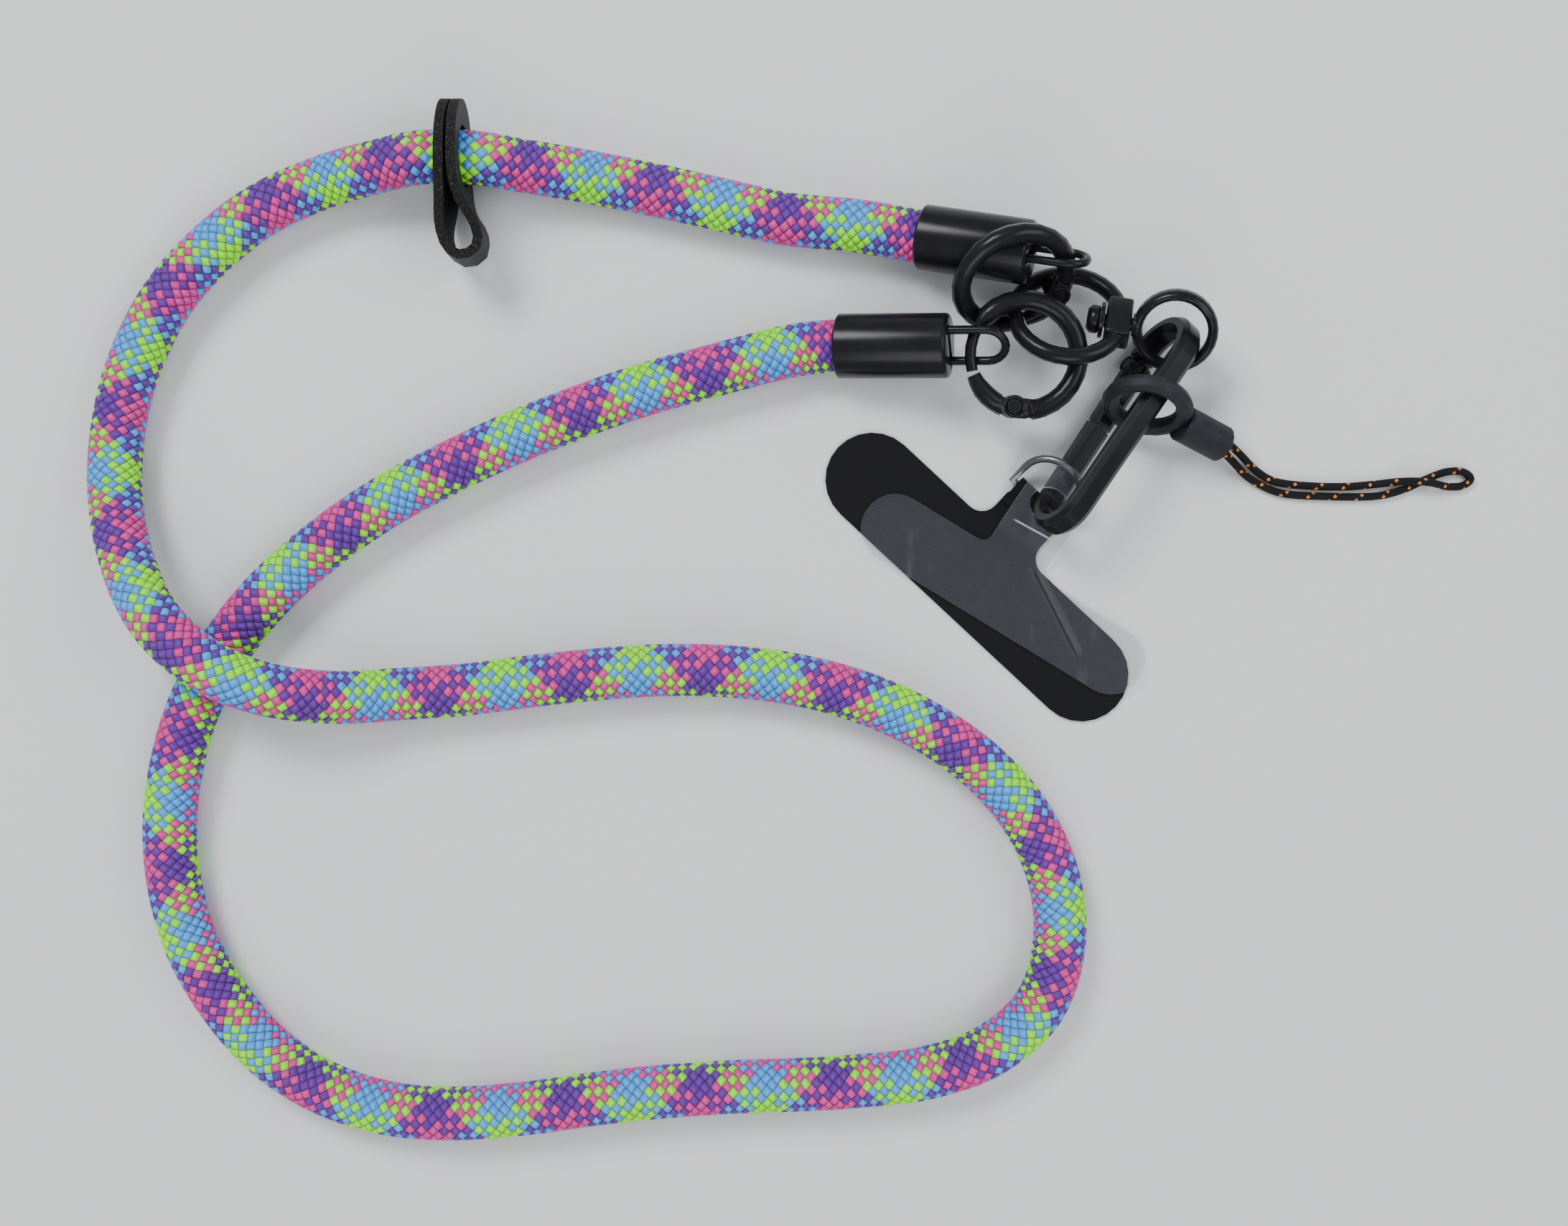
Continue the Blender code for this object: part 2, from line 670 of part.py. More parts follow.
        half, depth = CARABINER_WIDTH / 2, CARABINER_DEPTH / 2
        section = bar_section(half, depth, 0.0007, 0.0014)
        gap = 1.6 * CLEARANCE
        seam = CARABINER_HINGE_AT + 0.0022
        body = flat_bar("carabiner_body", [left(seam)] + bend + base + [left(CARABINER_TIP_AT - gap)], section)
        body = self.part(body, where, self.metal)
        slim = [(a * 0.94, h * 0.96) for a, h in section]
        gate = self.part(flat_bar("carabiner_gate", [left(CARABINER_TIP_AT), left(seam - gap)], slim), where, self.metal)
        size = (half + 0.0002, CARABINER_DEPTH, CARABINER_PIN_RADIUS, 0.0012)
        pin = self.hinge("carabiner", body, gate, where, left(CARABINER_HINGE_AT), left(seam + 0.0015),
                         left(seam + 0.0040), size)
        return body, gate, pin

    def lanyard_ring(self, centre, long_way, cross_way, barrel_end):
        """The rubber ring and its barrel, bored at the far end for the thin cord."""
        where = frame(centre, long_way, Vector(long_way).cross(Vector(cross_way)))
        line = arc((0, 0, 0), LANYARD_RADIUS, 0, 345, 23)
        ring = self.part(wire("rubber_ring", line, LANYARD_WIRE / 2, 8, True), where, self.rubber)
        start = where @ arc((0, 0, 0), LANYARD_RADIUS + 0.0007, -19, -19, 1)[0]
        end = Vector(barrel_end)
        barrel = frame((start + end) / 2, end - start, UP)
        length = (end - start).length
        edge = BARREL_DIAMETER / 2
        profile = [
            (length / 2, 0),
            (length / 2, edge - 0.0004),
            (length / 2 - 0.0004, edge),
            (-length / 2 + 0.0004, edge),
            (-length / 2, edge - 0.0004),
            (-length / 2, 0),
        ]
        self.join(ring, turned("rubber_barrel", profile, 18), barrel)
        bore = barrel @ Matrix.Translation((length / 2, 0, 0)) @ Matrix.Rotation(math.pi / 2, 4, "Y")
        return self.cut(ring, cylinder("rubber_bore", BARREL_BORE / 2, 2 * BARREL_BORE_DEPTH), bore)

    def rope(self, entry, exit_frame):
        """The braided rope from the bore of one cap to the bore of the other."""
        inside = (ROPE_IN_CAP, ROPE_IN_CAP / 2, 0)
        start = [entry @ Vector((x, 0, 0)) for x in inside] + [Vector((0.0205, 0.07345, 0.00515))]
        middle = smooth_line([Vector(p) * MM for p in ROPE_ROUTE], ROPE_STEP)
        end = [Vector((0.0044, 0.0509, 0.00515))] + [exit_frame @ Vector((x, 0, 0)) for x in reversed(inside)]
        line = start + middle + end
        return self.part(wire("strap_rope", line, ROPE_DIAMETER / 2, 12), Matrix(), self.rope_finish)

    def thin_cord(self):
        """The phone loop: a thin cord out of the barrel and back into it."""
        line = smooth_line([Vector(p) * MM for p in CORD_ROUTE], CORD_STEP)
        return self.part(wire("phone_loop_cord", line, CORD_DIAMETER / 2, 8), Matrix(), self.cord_finish)

    def black_tab(self, where):
        """The black tab, its stem folded over the bar of a wire D-ring."""
        thick = BLACK_TAB_THICKNESS
        outline = tab_outline(BLACK_TAB_LENGTH, BLACK_TAB_WIDTH, BLACK_STEM_AT, BLACK_STEM_WIDTH,
                              BLACK_STEM_TOP, 0.0035)
        level = Matrix.Translation((0, 0, LIFT + thick / 2))
        tab = self.part(slab("tab_black", outline, thick), where @ level, self.black_sheet)
        hole = D_RING_WIRE / 2 + CLEARANCE
        outer = hole + thick
        bar_z = LIFT + outer
        low = LIFT + 0.00003
        lap = LIFT + 2 * thick
        start = BLACK_STEM_TOP - FOLD_LAP / 2
        profile = [(start, low)] + [(p[0], max(low, p[1])) for p in arc((D_RING_AT, bar_z, 0), outer, -90, 90, 12)]
        profile += [(start + 0.0012, lap), (start, lap)]
        fold = slab("tab_black_fold", profile, FOLD_WIDTH, [circle((D_RING_AT, bar_z), hole, 16)])
        along = where @ frame((FOLD_AT, 0, 0), (0, 1, 0), (1, 0, 0))
        self.join(tab, fold, along)
        points = [Vector((-D_RING_HALF_WIDTH, 0, 0))]
        points += [Vector((0, D_RING_LEG, 0)) + p for p in arc((0, 0, 0), D_RING_HALF_WIDTH, 180, 0, 14)]
        points += [Vector((D_RING_HALF_WIDTH, 0, 0))]
        tilt = Matrix.Translation((FOLD_AT - 0.0001, D_RING_AT, bar_z)) @ Matrix.Rotation(math.radians(38), 4, "X")
        self.part(wire("tab_d_ring", points, D_RING_WIRE / 2, 8, True), where @ tilt, self.gunmetal)
        return tab

    def clear_tab(self, where):
        """The clear tab, its stem rising to a punched hole and a round end."""
        thick = CLEAR_TAB_THICKNESS
        low = LIFT + BLACK_TAB_THICKNESS + CLEARANCE + 0.0001
        outline = tab_outline(CLEAR_TAB_LENGTH, CLEAR_TAB_WIDTH, CLEAR_STEM_AT, CLEAR_STEM_WIDTH,
                              CLEAR_STEM_BEND - 0.0012, 0.0022)
        level = Matrix.Translation((0, 0, low + thick / 2))
        tab = self.part(slab("tab_clear", outline, thick), where @ level, self.clear_sheet)
        rise = math.radians(33)
        foot = CLEAR_STEM_BEND - 0.0030
        top = CLEAR_STEM_TOP + 0.002
        near, far = CLEAR_STEM_BEND, top
        under = [(foot, low + 0.00003), (near - 0.0012, low + 0.00003), (near + 0.0012, low + 0.0006)]
        under += [(far, low + 0.0006 + (far - near - 0.0012) * math.tan(rise))]
        step = thick / math.cos(rise)
        over = [(far, under[-1][1] + step), (near + 0.0011, low + 0.0006 + step), (near - 0.0014, low + thick - 0.00003)]
        over += [(foot, low + thick - 0.00003)]
        stem = slab("tab_clear_stem", under + over, CLEAR_STEM_WIDTH)
        along = where @ frame((CLEAR_STEM_AT, 0, 0), (0, 1, 0), (1, 0, 0))
        stem = self.helper(stem, along)
        half = CLEAR_STEM_WIDTH / 2 + 0.0001
        tip = [(CLEAR_STEM_AT + half * math.cos(math.pi * k / 14),
                CLEAR_STEM_TOP - 0.0056 + 0.0056 * math.sin(math.pi * k / 14)) for k in range(15)]
        tip += [(CLEAR_STEM_AT - half, 0.002), (CLEAR_STEM_AT + half, 0.002)]
        self.keep(stem, slab("tab_clear_end", tip, 0.04), where)
        combine(tab, stem, "UNION")
        at = (CLEAR_HOLE_AT[0], CLEAR_HOLE_AT[1], low + 0.0006 + (CLEAR_HOLE_AT[1] - near - 0.0012) * math.tan(rise))
        punch = where @ Matrix.Translation(at) @ Matrix.Rotation(rise, 4, "X")
        return self.cut(tab, cylinder("tab_clear_punch", CLEAR_HOLE_DIAMETER / 2, 0.004, 24), punch)

    def leather_keeper(self):
        """A leather strip on edge, folded back on itself, with a hole through both layers for the rope."""
        line = smooth_line([Vector(p) * MM for p in KEEPER_ROUTE], 0.0019)
        curve = bpy.data.curves.new("leather_keeper", "CURVE")
        curve.dimensions = "3D"
        curve.extrude = KEEPER_WIDTH / 2 + 0.001
        spline = curve.splines.new("POLY")
        spline.points.add(len(line) - 1)
        for k, point in enumerate(line):
            spline.points[k].co = (*point, 1)
        keeper = self.part(bpy.data.objects.new("leather_keeper", curve), Matrix(), self.leather)
        skin = keeper.modifiers.new("Thickness", "SOLIDIFY")
        skin.thickness = KEEPER_THICKNESS
        skin.offset = 0
        skin.use_even_offset = True
        half = KEEPER_WIDTH / 2
        end = arc((0.0874, half + LIFT, 0), half, -90, 90, 14)
        low, high = half - KEEPER_WAIST / 2, half + KEEPER_WAIST / 2
        below = [(0.060, low), (KEEPER_FOLD, low), (KEEPER_FOLD + 0.0050, low - 0.0026), (KEEPER_SHOULDER, LIFT)]
        above = [(y, 2 * half + LIFT - z) for y, z in reversed(below)]
        outline = below + [(p[0], p[1]) for p in end] + above
        self.keep(keeper, slab("keeper_outline", outline, 0.03), frame((-0.061, 0, 0), (0, 1, 0), (1, 0, 0)))
        hole = frame((-0.0628, 0.0866, 0.01010), (0, 0, -1), (1, 0, 0))
        radius = ROPE_DIAMETER / 2 + KEEPER_HOLE_CLEARANCE
        return self.cut(keeper, cylinder("keeper_hole", radius, 0.02, 24), hole)


def main():
    """Builds the whole strap."""
    strap = Strap()
    axis_a = (math.cos(math.radians(-11.6)) * math.cos(UPPER_CAP_TILT),
              math.sin(math.radians(-11.6)) * math.cos(UPPER_CAP_TILT), math.sin(UPPER_CAP_TILT))
    axis_b = (math.cos(math.radians(-1.7)) * math.cos(LOWER_CAP_TILT),
              math.sin(math.radians(-1.7)) * math.cos(LOWER_CAP_TILT), math.sin(LOWER_CAP_TILT))
    upper = frame(Vector(UPPER_CAP_END) - Vector(axis_a) * CAP_LENGTH, axis_a, UP)
    lower = frame(Vector(LOWER_CAP_END) - Vector(axis_b) * CAP_LENGTH, axis_b, UP)
    strap.rope(upper, lower)
    upper_half, lower_half = 0.00345, 0.00350
    strap.end_cap("ferrule_upper", upper, -UPPER_BAIL_ROLL, upper_half)
    strap.end_cap("ferrule_lower", lower, -LOWER_BAIL_ROLL, lower_half)
    strap.bail("bail_upper", upper, -UPPER_BAIL_ROLL, upper_half)
    strap.bail("bail_lower", lower, -LOWER_BAIL_ROLL, lower_half)
    strap.spring_ring("ring_upper", plane_frame((0.04332, 0.06291, 0.01300), -0.340, 1.049), 347, 300, -1, 640, 0.85)
    strap.spring_ring("ring_lower", plane_frame((0.04552, 0.04874, 0.01153), -0.069, 0.089), 257.6, 201, -1, 507, 0.58)
    loop = plane_frame((0.05399, 0.05661, 0.00958), 0.013, -0.633) @ Matrix.Rotation(math.radians(-10.97), 4, "Z")
    strap.swivel(loop, math.radians(32.3 + 29))
    long_axis = Vector((0.560, 0.8285, -0.064)).normalized()
    lean = math.radians(66)
    across = Vector((0.8285 * math.cos(lean), -0.560 * math.cos(lean), math.sin(lean)))
    strap.carabiner(frame((0.04975, 0.01575, 0.01072), long_axis, long_axis.cross(across)))
    strap.lanyard_ring((0.0686, 0.0392, 0.01225), (0.966, -0.259, 0), (0.1175, 0.4385, 0.891), (0.08426, 0.03238, 0.0055))
    strap.thin_cord()
    strap.black_tab(frame((0.03755, 0.0070, 0), (0.731, -0.682, 0), UP))
    strap.clear_tab(frame((0.04255, 0.00366, 0), (0.853, -0.522, 0), UP))
    strap.leather_keeper()


main()
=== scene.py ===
"""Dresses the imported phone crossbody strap.

The rope gets its braid, the phone loop its thin cord, the keeper its leather, the hardware its plating and
the two tabs their coated sheet and clear film. A floor, three soft lights and a camera straight above them
complete the picture.
"""

from __future__ import annotations

import json
import logging
import math
from dataclasses import dataclass, field
from enum import Enum
from typing import Any

import bmesh
import bpy
import numpy as np
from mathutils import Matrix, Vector

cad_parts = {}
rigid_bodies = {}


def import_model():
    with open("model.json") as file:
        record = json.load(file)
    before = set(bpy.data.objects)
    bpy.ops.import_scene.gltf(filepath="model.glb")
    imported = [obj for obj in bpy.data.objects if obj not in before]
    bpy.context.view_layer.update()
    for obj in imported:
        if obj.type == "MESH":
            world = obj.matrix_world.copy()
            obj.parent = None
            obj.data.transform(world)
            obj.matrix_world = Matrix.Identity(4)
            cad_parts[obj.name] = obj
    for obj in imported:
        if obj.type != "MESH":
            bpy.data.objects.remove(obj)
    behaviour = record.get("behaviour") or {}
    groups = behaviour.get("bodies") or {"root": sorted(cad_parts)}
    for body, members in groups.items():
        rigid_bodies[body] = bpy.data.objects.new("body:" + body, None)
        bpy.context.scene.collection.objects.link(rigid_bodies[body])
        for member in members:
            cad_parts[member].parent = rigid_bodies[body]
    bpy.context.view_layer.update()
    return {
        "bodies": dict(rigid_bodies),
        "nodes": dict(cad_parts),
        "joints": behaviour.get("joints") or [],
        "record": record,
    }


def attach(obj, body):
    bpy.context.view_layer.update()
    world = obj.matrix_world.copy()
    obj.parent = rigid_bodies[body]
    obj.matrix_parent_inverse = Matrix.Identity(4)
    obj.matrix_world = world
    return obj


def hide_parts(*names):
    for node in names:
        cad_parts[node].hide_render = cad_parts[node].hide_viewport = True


log = logging.getLogger("strap")

Triple = tuple[float, float, float]
Pair = tuple[float, float]

MM = 0.001
UP = np.array([0.0, 0.0, 1.0])
# The part's origin, in millimetres on the grid of the two centre lines below.
ORIGIN = np.array([47.11, 28.55, 0.0])

# The rope's centre line in millimetres, from the bore of the upper end cap to the bore of the lower one.
ROPE_ROUTE = (
    (37.63, 69.92, 9.32), (31.98, 71.08, 7.66), (26.33, 72.24, 6.01), (20.5, 73.45, 5.15), (13.4, 74.6, 5.1),
    (0.6, 75.8, 5.1), (-12.2, 78.6, 5.1), (-24.9, 81.4, 5.1), (-37.7, 83.9, 5.3), (-49.5, 85.4, 7.6),
    (-57.0, 86.3, 9.8), (-63.6, 86.6, 10.2), (-70.2, 86.4, 9.8), (-77.5, 85.4, 7.6), (-88.2, 83.0, 5.3),
    (-100.7, 77.4, 5.1), (-110.9, 69.3, 5.1), (-119.1, 59.7, 5.1), (-124.8, 48.3, 5.1), (-128.0, 36.0, 5.1),
    (-128.2, 23.1, 6.5), (-124.7, 10.3, 10.5), (-118.3, -0.8, 14.6), (-108.9, -9.3, 15.9),
    (-97.9, -14.2, 14.2),
    (-86.1, -16.0, 9.6), (-74.0, -15.6, 6.1), (-61.2, -14.7, 5.1), (-48.2, -13.1, 5.1), (-35.2, -11.7, 5.1),
    (-22.2, -11.0, 5.1), (-9.3, -11.3, 5.1), (3.6, -13.1, 5.1), (16.2, -16.6, 5.1), (27.9, -22.2, 5.1),
    (38.5, -29.8, 5.1), (46.8, -39.6, 5.1), (52.0, -51.4, 5.1), (52.9, -64.1, 5.1), (49.0, -75.8, 5.1),
    (39.6, -84.2, 5.1), (27.2, -88.5, 5.1), (14.2, -90.1, 5.1), (1.2, -90.8, 5.1), (-11.7, -91.3, 5.1),
    (-24.7, -92.2, 5.1), (-37.7, -93.7, 5.1), (-50.6, -95.4, 5.1), (-63.5, -96.3, 5.1), (-76.5, -95.2, 5.1),
    (-88.7, -91.2, 5.1), (-99.4, -84.1, 5.1), (-107.8, -74.5, 5.1), (-114.1, -63.3, 5.1),
    (-117.5, -50.8, 5.1),
    (-118.0, -37.7, 5.1), (-115.8, -24.9, 5.1), (-111.3, -13.2, 5.1), (-104.5, -2.5, 5.1), (-95.9, 6.9, 5.1),
    (-86.0, 15.1, 5.1), (-75.1, 22.3, 5.1), (-63.4, 28.4, 5.1), (-51.7, 33.8, 5.1), (-39.8, 38.5, 5.1),
    (-27.8, 42.7, 5.1), (-15.2, 46.2, 5.1), (-2.3, 49.6, 5.1), (4.4, 50.9, 5.15), (10.33, 51.25, 6.07),
    (16.15, 51.08, 7.52), (21.97, 50.9, 8.97),
)
# The thin cord's centre line in millimetres, out of the barrel, round its end loop and back.
CORD_ROUTE = (
    (82.2, 34.2, 7.0), (84.7, 33.2, 5.4), (87.9, 31.0, 3.1), (91.9, 27.6, 1.1), (95.9, 25.5, 0.9),
    (102.7, 24.7, 0.9), (109.6, 24.6, 0.9), (115.5, 25.1, 0.9), (119.5, 25.5, 1.9), (122.6, 25.5, 2.75),
    (125.4, 25.2, 2.75), (128.6, 24.6, 1.5), (131.8, 24.7, 0.9), (133.6, 26.1, 0.9), (131.9, 27.5, 0.9),
    (128.6, 27.4, 0.9), (124.6, 25.9, 0.9), (120.4, 24.0, 0.9), (114.7, 22.7, 0.9), (104.6, 22.7, 0.9),
    (96.4, 23.4, 0.9), (90.5, 26.2, 1.1), (86.7, 29.4, 3.1), (83.9, 31.6, 5.4), (81.6, 32.6, 7.0),
)
# Points worked out between two neighbours of a route before they are spread evenly.
FINE_STEPS = 24

# In a copied solid, corners closer than MERGE become one, edges under TINY go, and faces that meet at less
# than FLAT become one face.
MERGE = 2e-6
TINY = 1e-6
FLAT = math.radians(1.0)


class Slot(Enum):
    """The material slots of the strap; each finish takes its material's name from its slot."""

    BRAID = "braid"
    THIN_CORD = "thin_cord"
    LEATHER = "leather"
    BLACK_METAL = "black_metal"
    WIRE_METAL = "wire_metal"
    RUBBER = "rubber"
    TAB_SHEET = "tab_sheet"
    CLEAR_FILM = "clear_film"


class Socket:
    """A shader value that can stand in a Python sum: each operator adds its Math node."""

    def __init__(self, sheet: Shader, socket: bpy.types.NodeSocket) -> None:
        """Wraps an output socket of the material that sheet builds."""
        self.sheet = sheet
        self.socket = socket

    def math(self, operation: str, *others: Socket | float) -> Socket:
        """Applies a Math node to this value.

        Args:
            operation: the node's operation.
            others: its further values.

        Returns:
            The node's result.
        """
        return self.sheet.node("ShaderNodeMath", {"operation": operation}, dict(enumerate((self, *others))))

    def __add__(self, other: Socket | float) -> Socket:
        """Sum."""
        return self.math("ADD", other)

    __radd__ = __add__

    def __sub__(self, other: Socket | float) -> Socket:
        """Difference."""
        return self.math("SUBTRACT", other)

    def __rsub__(self, other: float) -> Socket:
        """Difference the other way round."""
        return self.sheet.node("ShaderNodeMath", {"operation": "SUBTRACT"}, {0: other, 1: self})

    def __mul__(self, other: Socket | float) -> Socket:
        """Product."""
        return self.math("MULTIPLY", other)

    __rmul__ = __mul__

    def __truediv__(self, other: Socket | float) -> Socket:
        """Quotient."""
        return self.math("DIVIDE", other)

    def __gt__(self, other: Socket | float) -> Socket:
        """1 where this is greater, otherwise 0."""
        return self.math("GREATER_THAN", other)

    def __lt__(self, other: Socket | float) -> Socket:
        """1 where this is less, otherwise 0."""
        return self.math("LESS_THAN", other)

    def mod(self, size: float) -> Socket:
        """Remainder that is never negative."""
        return self.math("FLOORED_MODULO", size)

    def step(self, low: float, high: float) -> Socket:
        """A smooth step from 0 at low to 1 at high."""
        values = {"Value": self, "From Min": low, "From Max": high}
        return self.sheet.node("ShaderNodeMapRange", {"interpolation_type": "SMOOTHSTEP"}, values)


class Shader:
    """Builds one material out of nodes."""

    def __init__(self, name: str) -> None:
        """Starts a material of that name with one principled surface."""
        self.material = bpy.data.materials.new(name)
        self.material.use_nodes = True
        self.tree = self.material.node_tree
        self.tree.nodes.clear()
        out = self.tree.nodes.new("ShaderNodeOutputMaterial")
        self.surface = self.tree.nodes.new("ShaderNodeBsdfPrincipled")
        self.tree.links.new(self.surface.outputs[0], out.inputs[0])

    def put(self, socket: bpy.types.NodeSocket, value: Any) -> None:
        """Links a Socket to an input, or sets a constant on it.

        Args:
            socket: the input.
            value: a Socket, a number, a vector, or a colour's three numbers.
        """
        if isinstance(value, Socket):
            self.tree.links.new(value.socket, socket)
        elif isinstance(value, tuple) and len(value) == 3 and socket.type == "RGBA":
            socket.default_value = (*value, 1.0)
        else:
            socket.default_value = value

    def node(
        self, kind: str, settings: dict[str, Any], values: dict[Any, Any], output: int | str = 0
    ) -> Socket:
        """Adds one node.

        Args:
            kind: the node's type.
            settings: its settings, which are set first.
            values: what goes into its inputs, by number or name.
            output: the output that is wanted, by number or name.

        Returns:
            That output.
        """
        made = self.tree.nodes.new(kind)
        for key, value in settings.items():
            setattr(made, key, value)
        for key, value in values.items():
            self.put(made.inputs[key], value)
        return Socket(self, made.outputs[output])

    def split(self, vector: Socket) -> tuple[Socket, Socket]:
        """Returns: the first two values of a vector."""
        parts = self.tree.nodes.new("ShaderNodeSeparateXYZ")
        self.put(parts.inputs[0], vector)
        return Socket(self, parts.outputs[0]), Socket(self, parts.outputs[1])

    def place(self, scale: Triple = (1.0, 1.0, 1.0)) -> Socket:
        """Returns: the object's own coordinates, times scale."""
        where = self.node("ShaderNodeTexCoord", {}, {}, "Object")
        return self.node("ShaderNodeMapping", {}, {"Vector": where, "Scale": scale})

    def along(self) -> tuple[Socket, Socket]:
        """Returns: the two surface coordinates of the piece's own UV map."""
        return self.split(self.node("ShaderNodeUVMap", {"uv_map": "UVMap"}, {}))

    def vector(self, x: Socket | float, y: Socket | float, z: Socket | float = 0.0) -> Socket:
        """Returns: a vector of three values."""
        return self.node("ShaderNodeCombineXYZ", {}, {0: x, 1: y, 2: z})

    def multiply(self, one: Socket, two: Socket) -> Socket:
        """Returns: the product of two vectors or colours, value by value."""
        return self.node("ShaderNodeVectorMath", {"operation": "MULTIPLY"}, {0: one, 1: two})

    def likeness(self, one: Socket, two: Socket | Triple) -> Socket:
        """Returns: 1 where two directions agree, less where they don't (their dot product)."""
        return self.node("ShaderNodeVectorMath", {"operation": "DOT_PRODUCT"}, {0: one, 1: two}, "Value")

    def noise(self, where: Socket, scale: float, detail: float = 4.0, rough: float = 0.55) -> Socket:
        """Soft noise.

        Args:
            where: coordinates.
            scale: cells per unit of the coordinates.
            detail: number of finer layers.
            rough: share of the finer layers.

        Returns:
            Values from 0 to 1.
        """
        values = {"Vector": where, "Scale": scale, "Detail": detail, "Roughness": rough}
        return self.node("ShaderNodeTexNoise", {}, values)

    def mix(self, share: Socket | float, one: Socket | Triple, two: Socket | Triple) -> Socket:
        """Returns: the mixed colour, one where share is 0 and two where it is 1."""
        return self.node("ShaderNodeMix", {"data_type": "RGBA"}, {0: share, 6: one, 7: two}, 2)

    def bump(self, height: Socket, strength: float, depth: float, under: Socket | None = None) -> Socket:
        """A normal that leans with a height.

        Args:
            height: from 0 to 1.
            strength: share of the lean that is used.
            depth: metres from height 0 to height 1.
            under: the normal of a coarser relief below this one.

        Returns:
            The normal.
        """
        values = {"Strength": strength, "Distance": depth, "Height": height}
        if under is not None:
            values["Normal"] = under
        return self.node("ShaderNodeBump", {}, values)

    def stroke(self, ends: tuple[Pair, Pair], width: float) -> Socket:
        """A soft line on the top face, from the distance beside it and the distance along it.

        Args:
            ends: the line's two ends, x and y in millimetres.
            width: half its width in millimetres.

        Returns:
            A mask: 1 on the line, 0 past its width and its ends.
        """
        (from_x, from_y), (to_x, to_y) = ends
        across, down = self.split(self.node("ShaderNodeTexCoord", {}, {}, "Object"))
        x, y = across - from_x * MM, down - from_y * MM
        length = math.dist(*ends)
        dx, dy = (to_x - from_x) / length, (to_y - from_y) / length
        ahead = x * dx + y * dy
        aside = (y * dx - x * dy).math("ABSOLUTE")
        long = length * MM
        inside = ahead.step(0.0, 0.12 * long) * (1 - ahead.step(0.85 * long, long))
        return (1 - aside.step(0.0, width * MM)) * inside

    def set(self, **values: Any) -> None:
        """Sets the surface's sockets by name, with _ for a space."""
        for key, value in values.items():
            self.put(self.surface.inputs[key.replace("_", " ")], value)


def smooth_line(route: tuple[Triple, ...], step: float) -> np.ndarray:
    """A smooth curve through a route.

    Between two points it is a cubic whose slope at each point is half the way from the point before to the
    point after. Its points are then spread evenly by run length.

    Args:
        route: the points to go through.
        step: the distance between points of the result.

    Returns:
        The points, one row each.
    """
    p = np.array(route, float)
    p = np.vstack([2 * p[0] - p[1], p, 2 * p[-1] - p[-2]])
    before, a, b, after = (p[k : len(p) - 3 + k, None] for k in range(4))
    t = (np.arange(FINE_STEPS) / FINE_STEPS)[None, :, None]
    pull = -before + 3 * a - 3 * b + after
    bend = 2 * before - 5 * a + 4 * b - after
    fine = (0.5 * (2 * a + (b - before) * t + bend * t**2 + pull * t**3)).reshape(-1, p.shape[1])
    fine = np.vstack([fine, p[-2]])
    run = np.concatenate([[0], np.cumsum(np.linalg.norm(np.diff(fine, axis=0), axis=1))])
    even = np.linspace(0, run[-1], max(2, round(run[-1] / step)) + 1)
    return np.stack([np.interp(even, run, fine[:, k]) for k in range(p.shape[1])], 1)


@dataclass
class Line:
    """A centre line with run lengths and a frame: side is level, and top completes it."""

    points: np.ndarray
    run: np.ndarray = field(init=False)
    side: np.ndarray = field(init=False)
    top: np.ndarray = field(init=False)

    def __post_init__(self) -> None:
        """Works out the run lengths and the frame from the points."""
        steps = np.linalg.norm(np.diff(self.points, axis=0), axis=1)
        self.run = np.concatenate([[0], np.cumsum(steps)])
        ahead = np.gradient(self.points, axis=0)
        ahead /= np.linalg.norm(ahead, axis=1)[:, None]
        self.side = np.cross(ahead, UP)
        self.side /= np.linalg.norm(self.side, axis=1)[:, None]
        self.top = np.cross(self.side, ahead)

    @classmethod
    def through(cls, route: tuple[Triple, ...], step: float) -> Line:
        """Returns: the line through a route in millimetres, with a point every step millimetres."""
        return cls((smooth_line(route, step) - ORIGIN) * MM)

    def at(self, s: np.ndarray, turn: np.ndarray, radius: np.ndarray) -> np.ndarray:
        """Points round the line: its point at run length s, plus radius times the frame turned by turn.

        Args:
            s: run lengths.
            turn: angles round the line.
            radius: distances from the line.

        Returns:
            One point for each.
        """
        centre, side, top = (
            np.stack([np.interp(s, self.run, values[:, k]) for k in range(3)], -1)
            for values in (self.points, self.side, self.top)
        )
        return centre + radius[:, None] * (np.cos(turn)[:, None] * side - np.sin(turn)[:, None] * top)


def make_piece(
    name: str, points: np.ndarray, faces: np.ndarray, uv: np.ndarray | None = None, smooth: bool = True
) -> bpy.types.Object:
    """Puts a surface into a new object.

    Args:
        name: the piece's name.
        points: its points.
        faces: its four-sided faces, as point numbers.
        uv: one pair per face corner.
        smooth: whether it is shaded smooth.

    Returns:
        The object, linked to the scene.
    """
    mesh = bpy.data.meshes.new(name)
    mesh.vertices.add(len(points))
    mesh.vertices.foreach_set("co", points.astype(np.float32).ravel())
    mesh.loops.add(faces.size)
    mesh.loops.foreach_set("vertex_index", faces.astype(np.int32).ravel())
    mesh.polygons.add(len(faces))
    mesh.polygons.foreach_set("loop_start", np.arange(len(faces), dtype=np.int32) * faces.shape[1])
    mesh.update(calc_edges=True)
    if uv is not None:
        layer = mesh.uv_layers.new(name="UVMap")
        layer.data.foreach_set("uv", uv.astype(np.float32).ravel())
    mesh.polygons.foreach_set("use_smooth", np.full(len(faces), smooth))
    mesh.validate()
    piece = bpy.data.objects.new(name, mesh)
    bpy.context.scene.collection.objects.link(piece)
    return piece


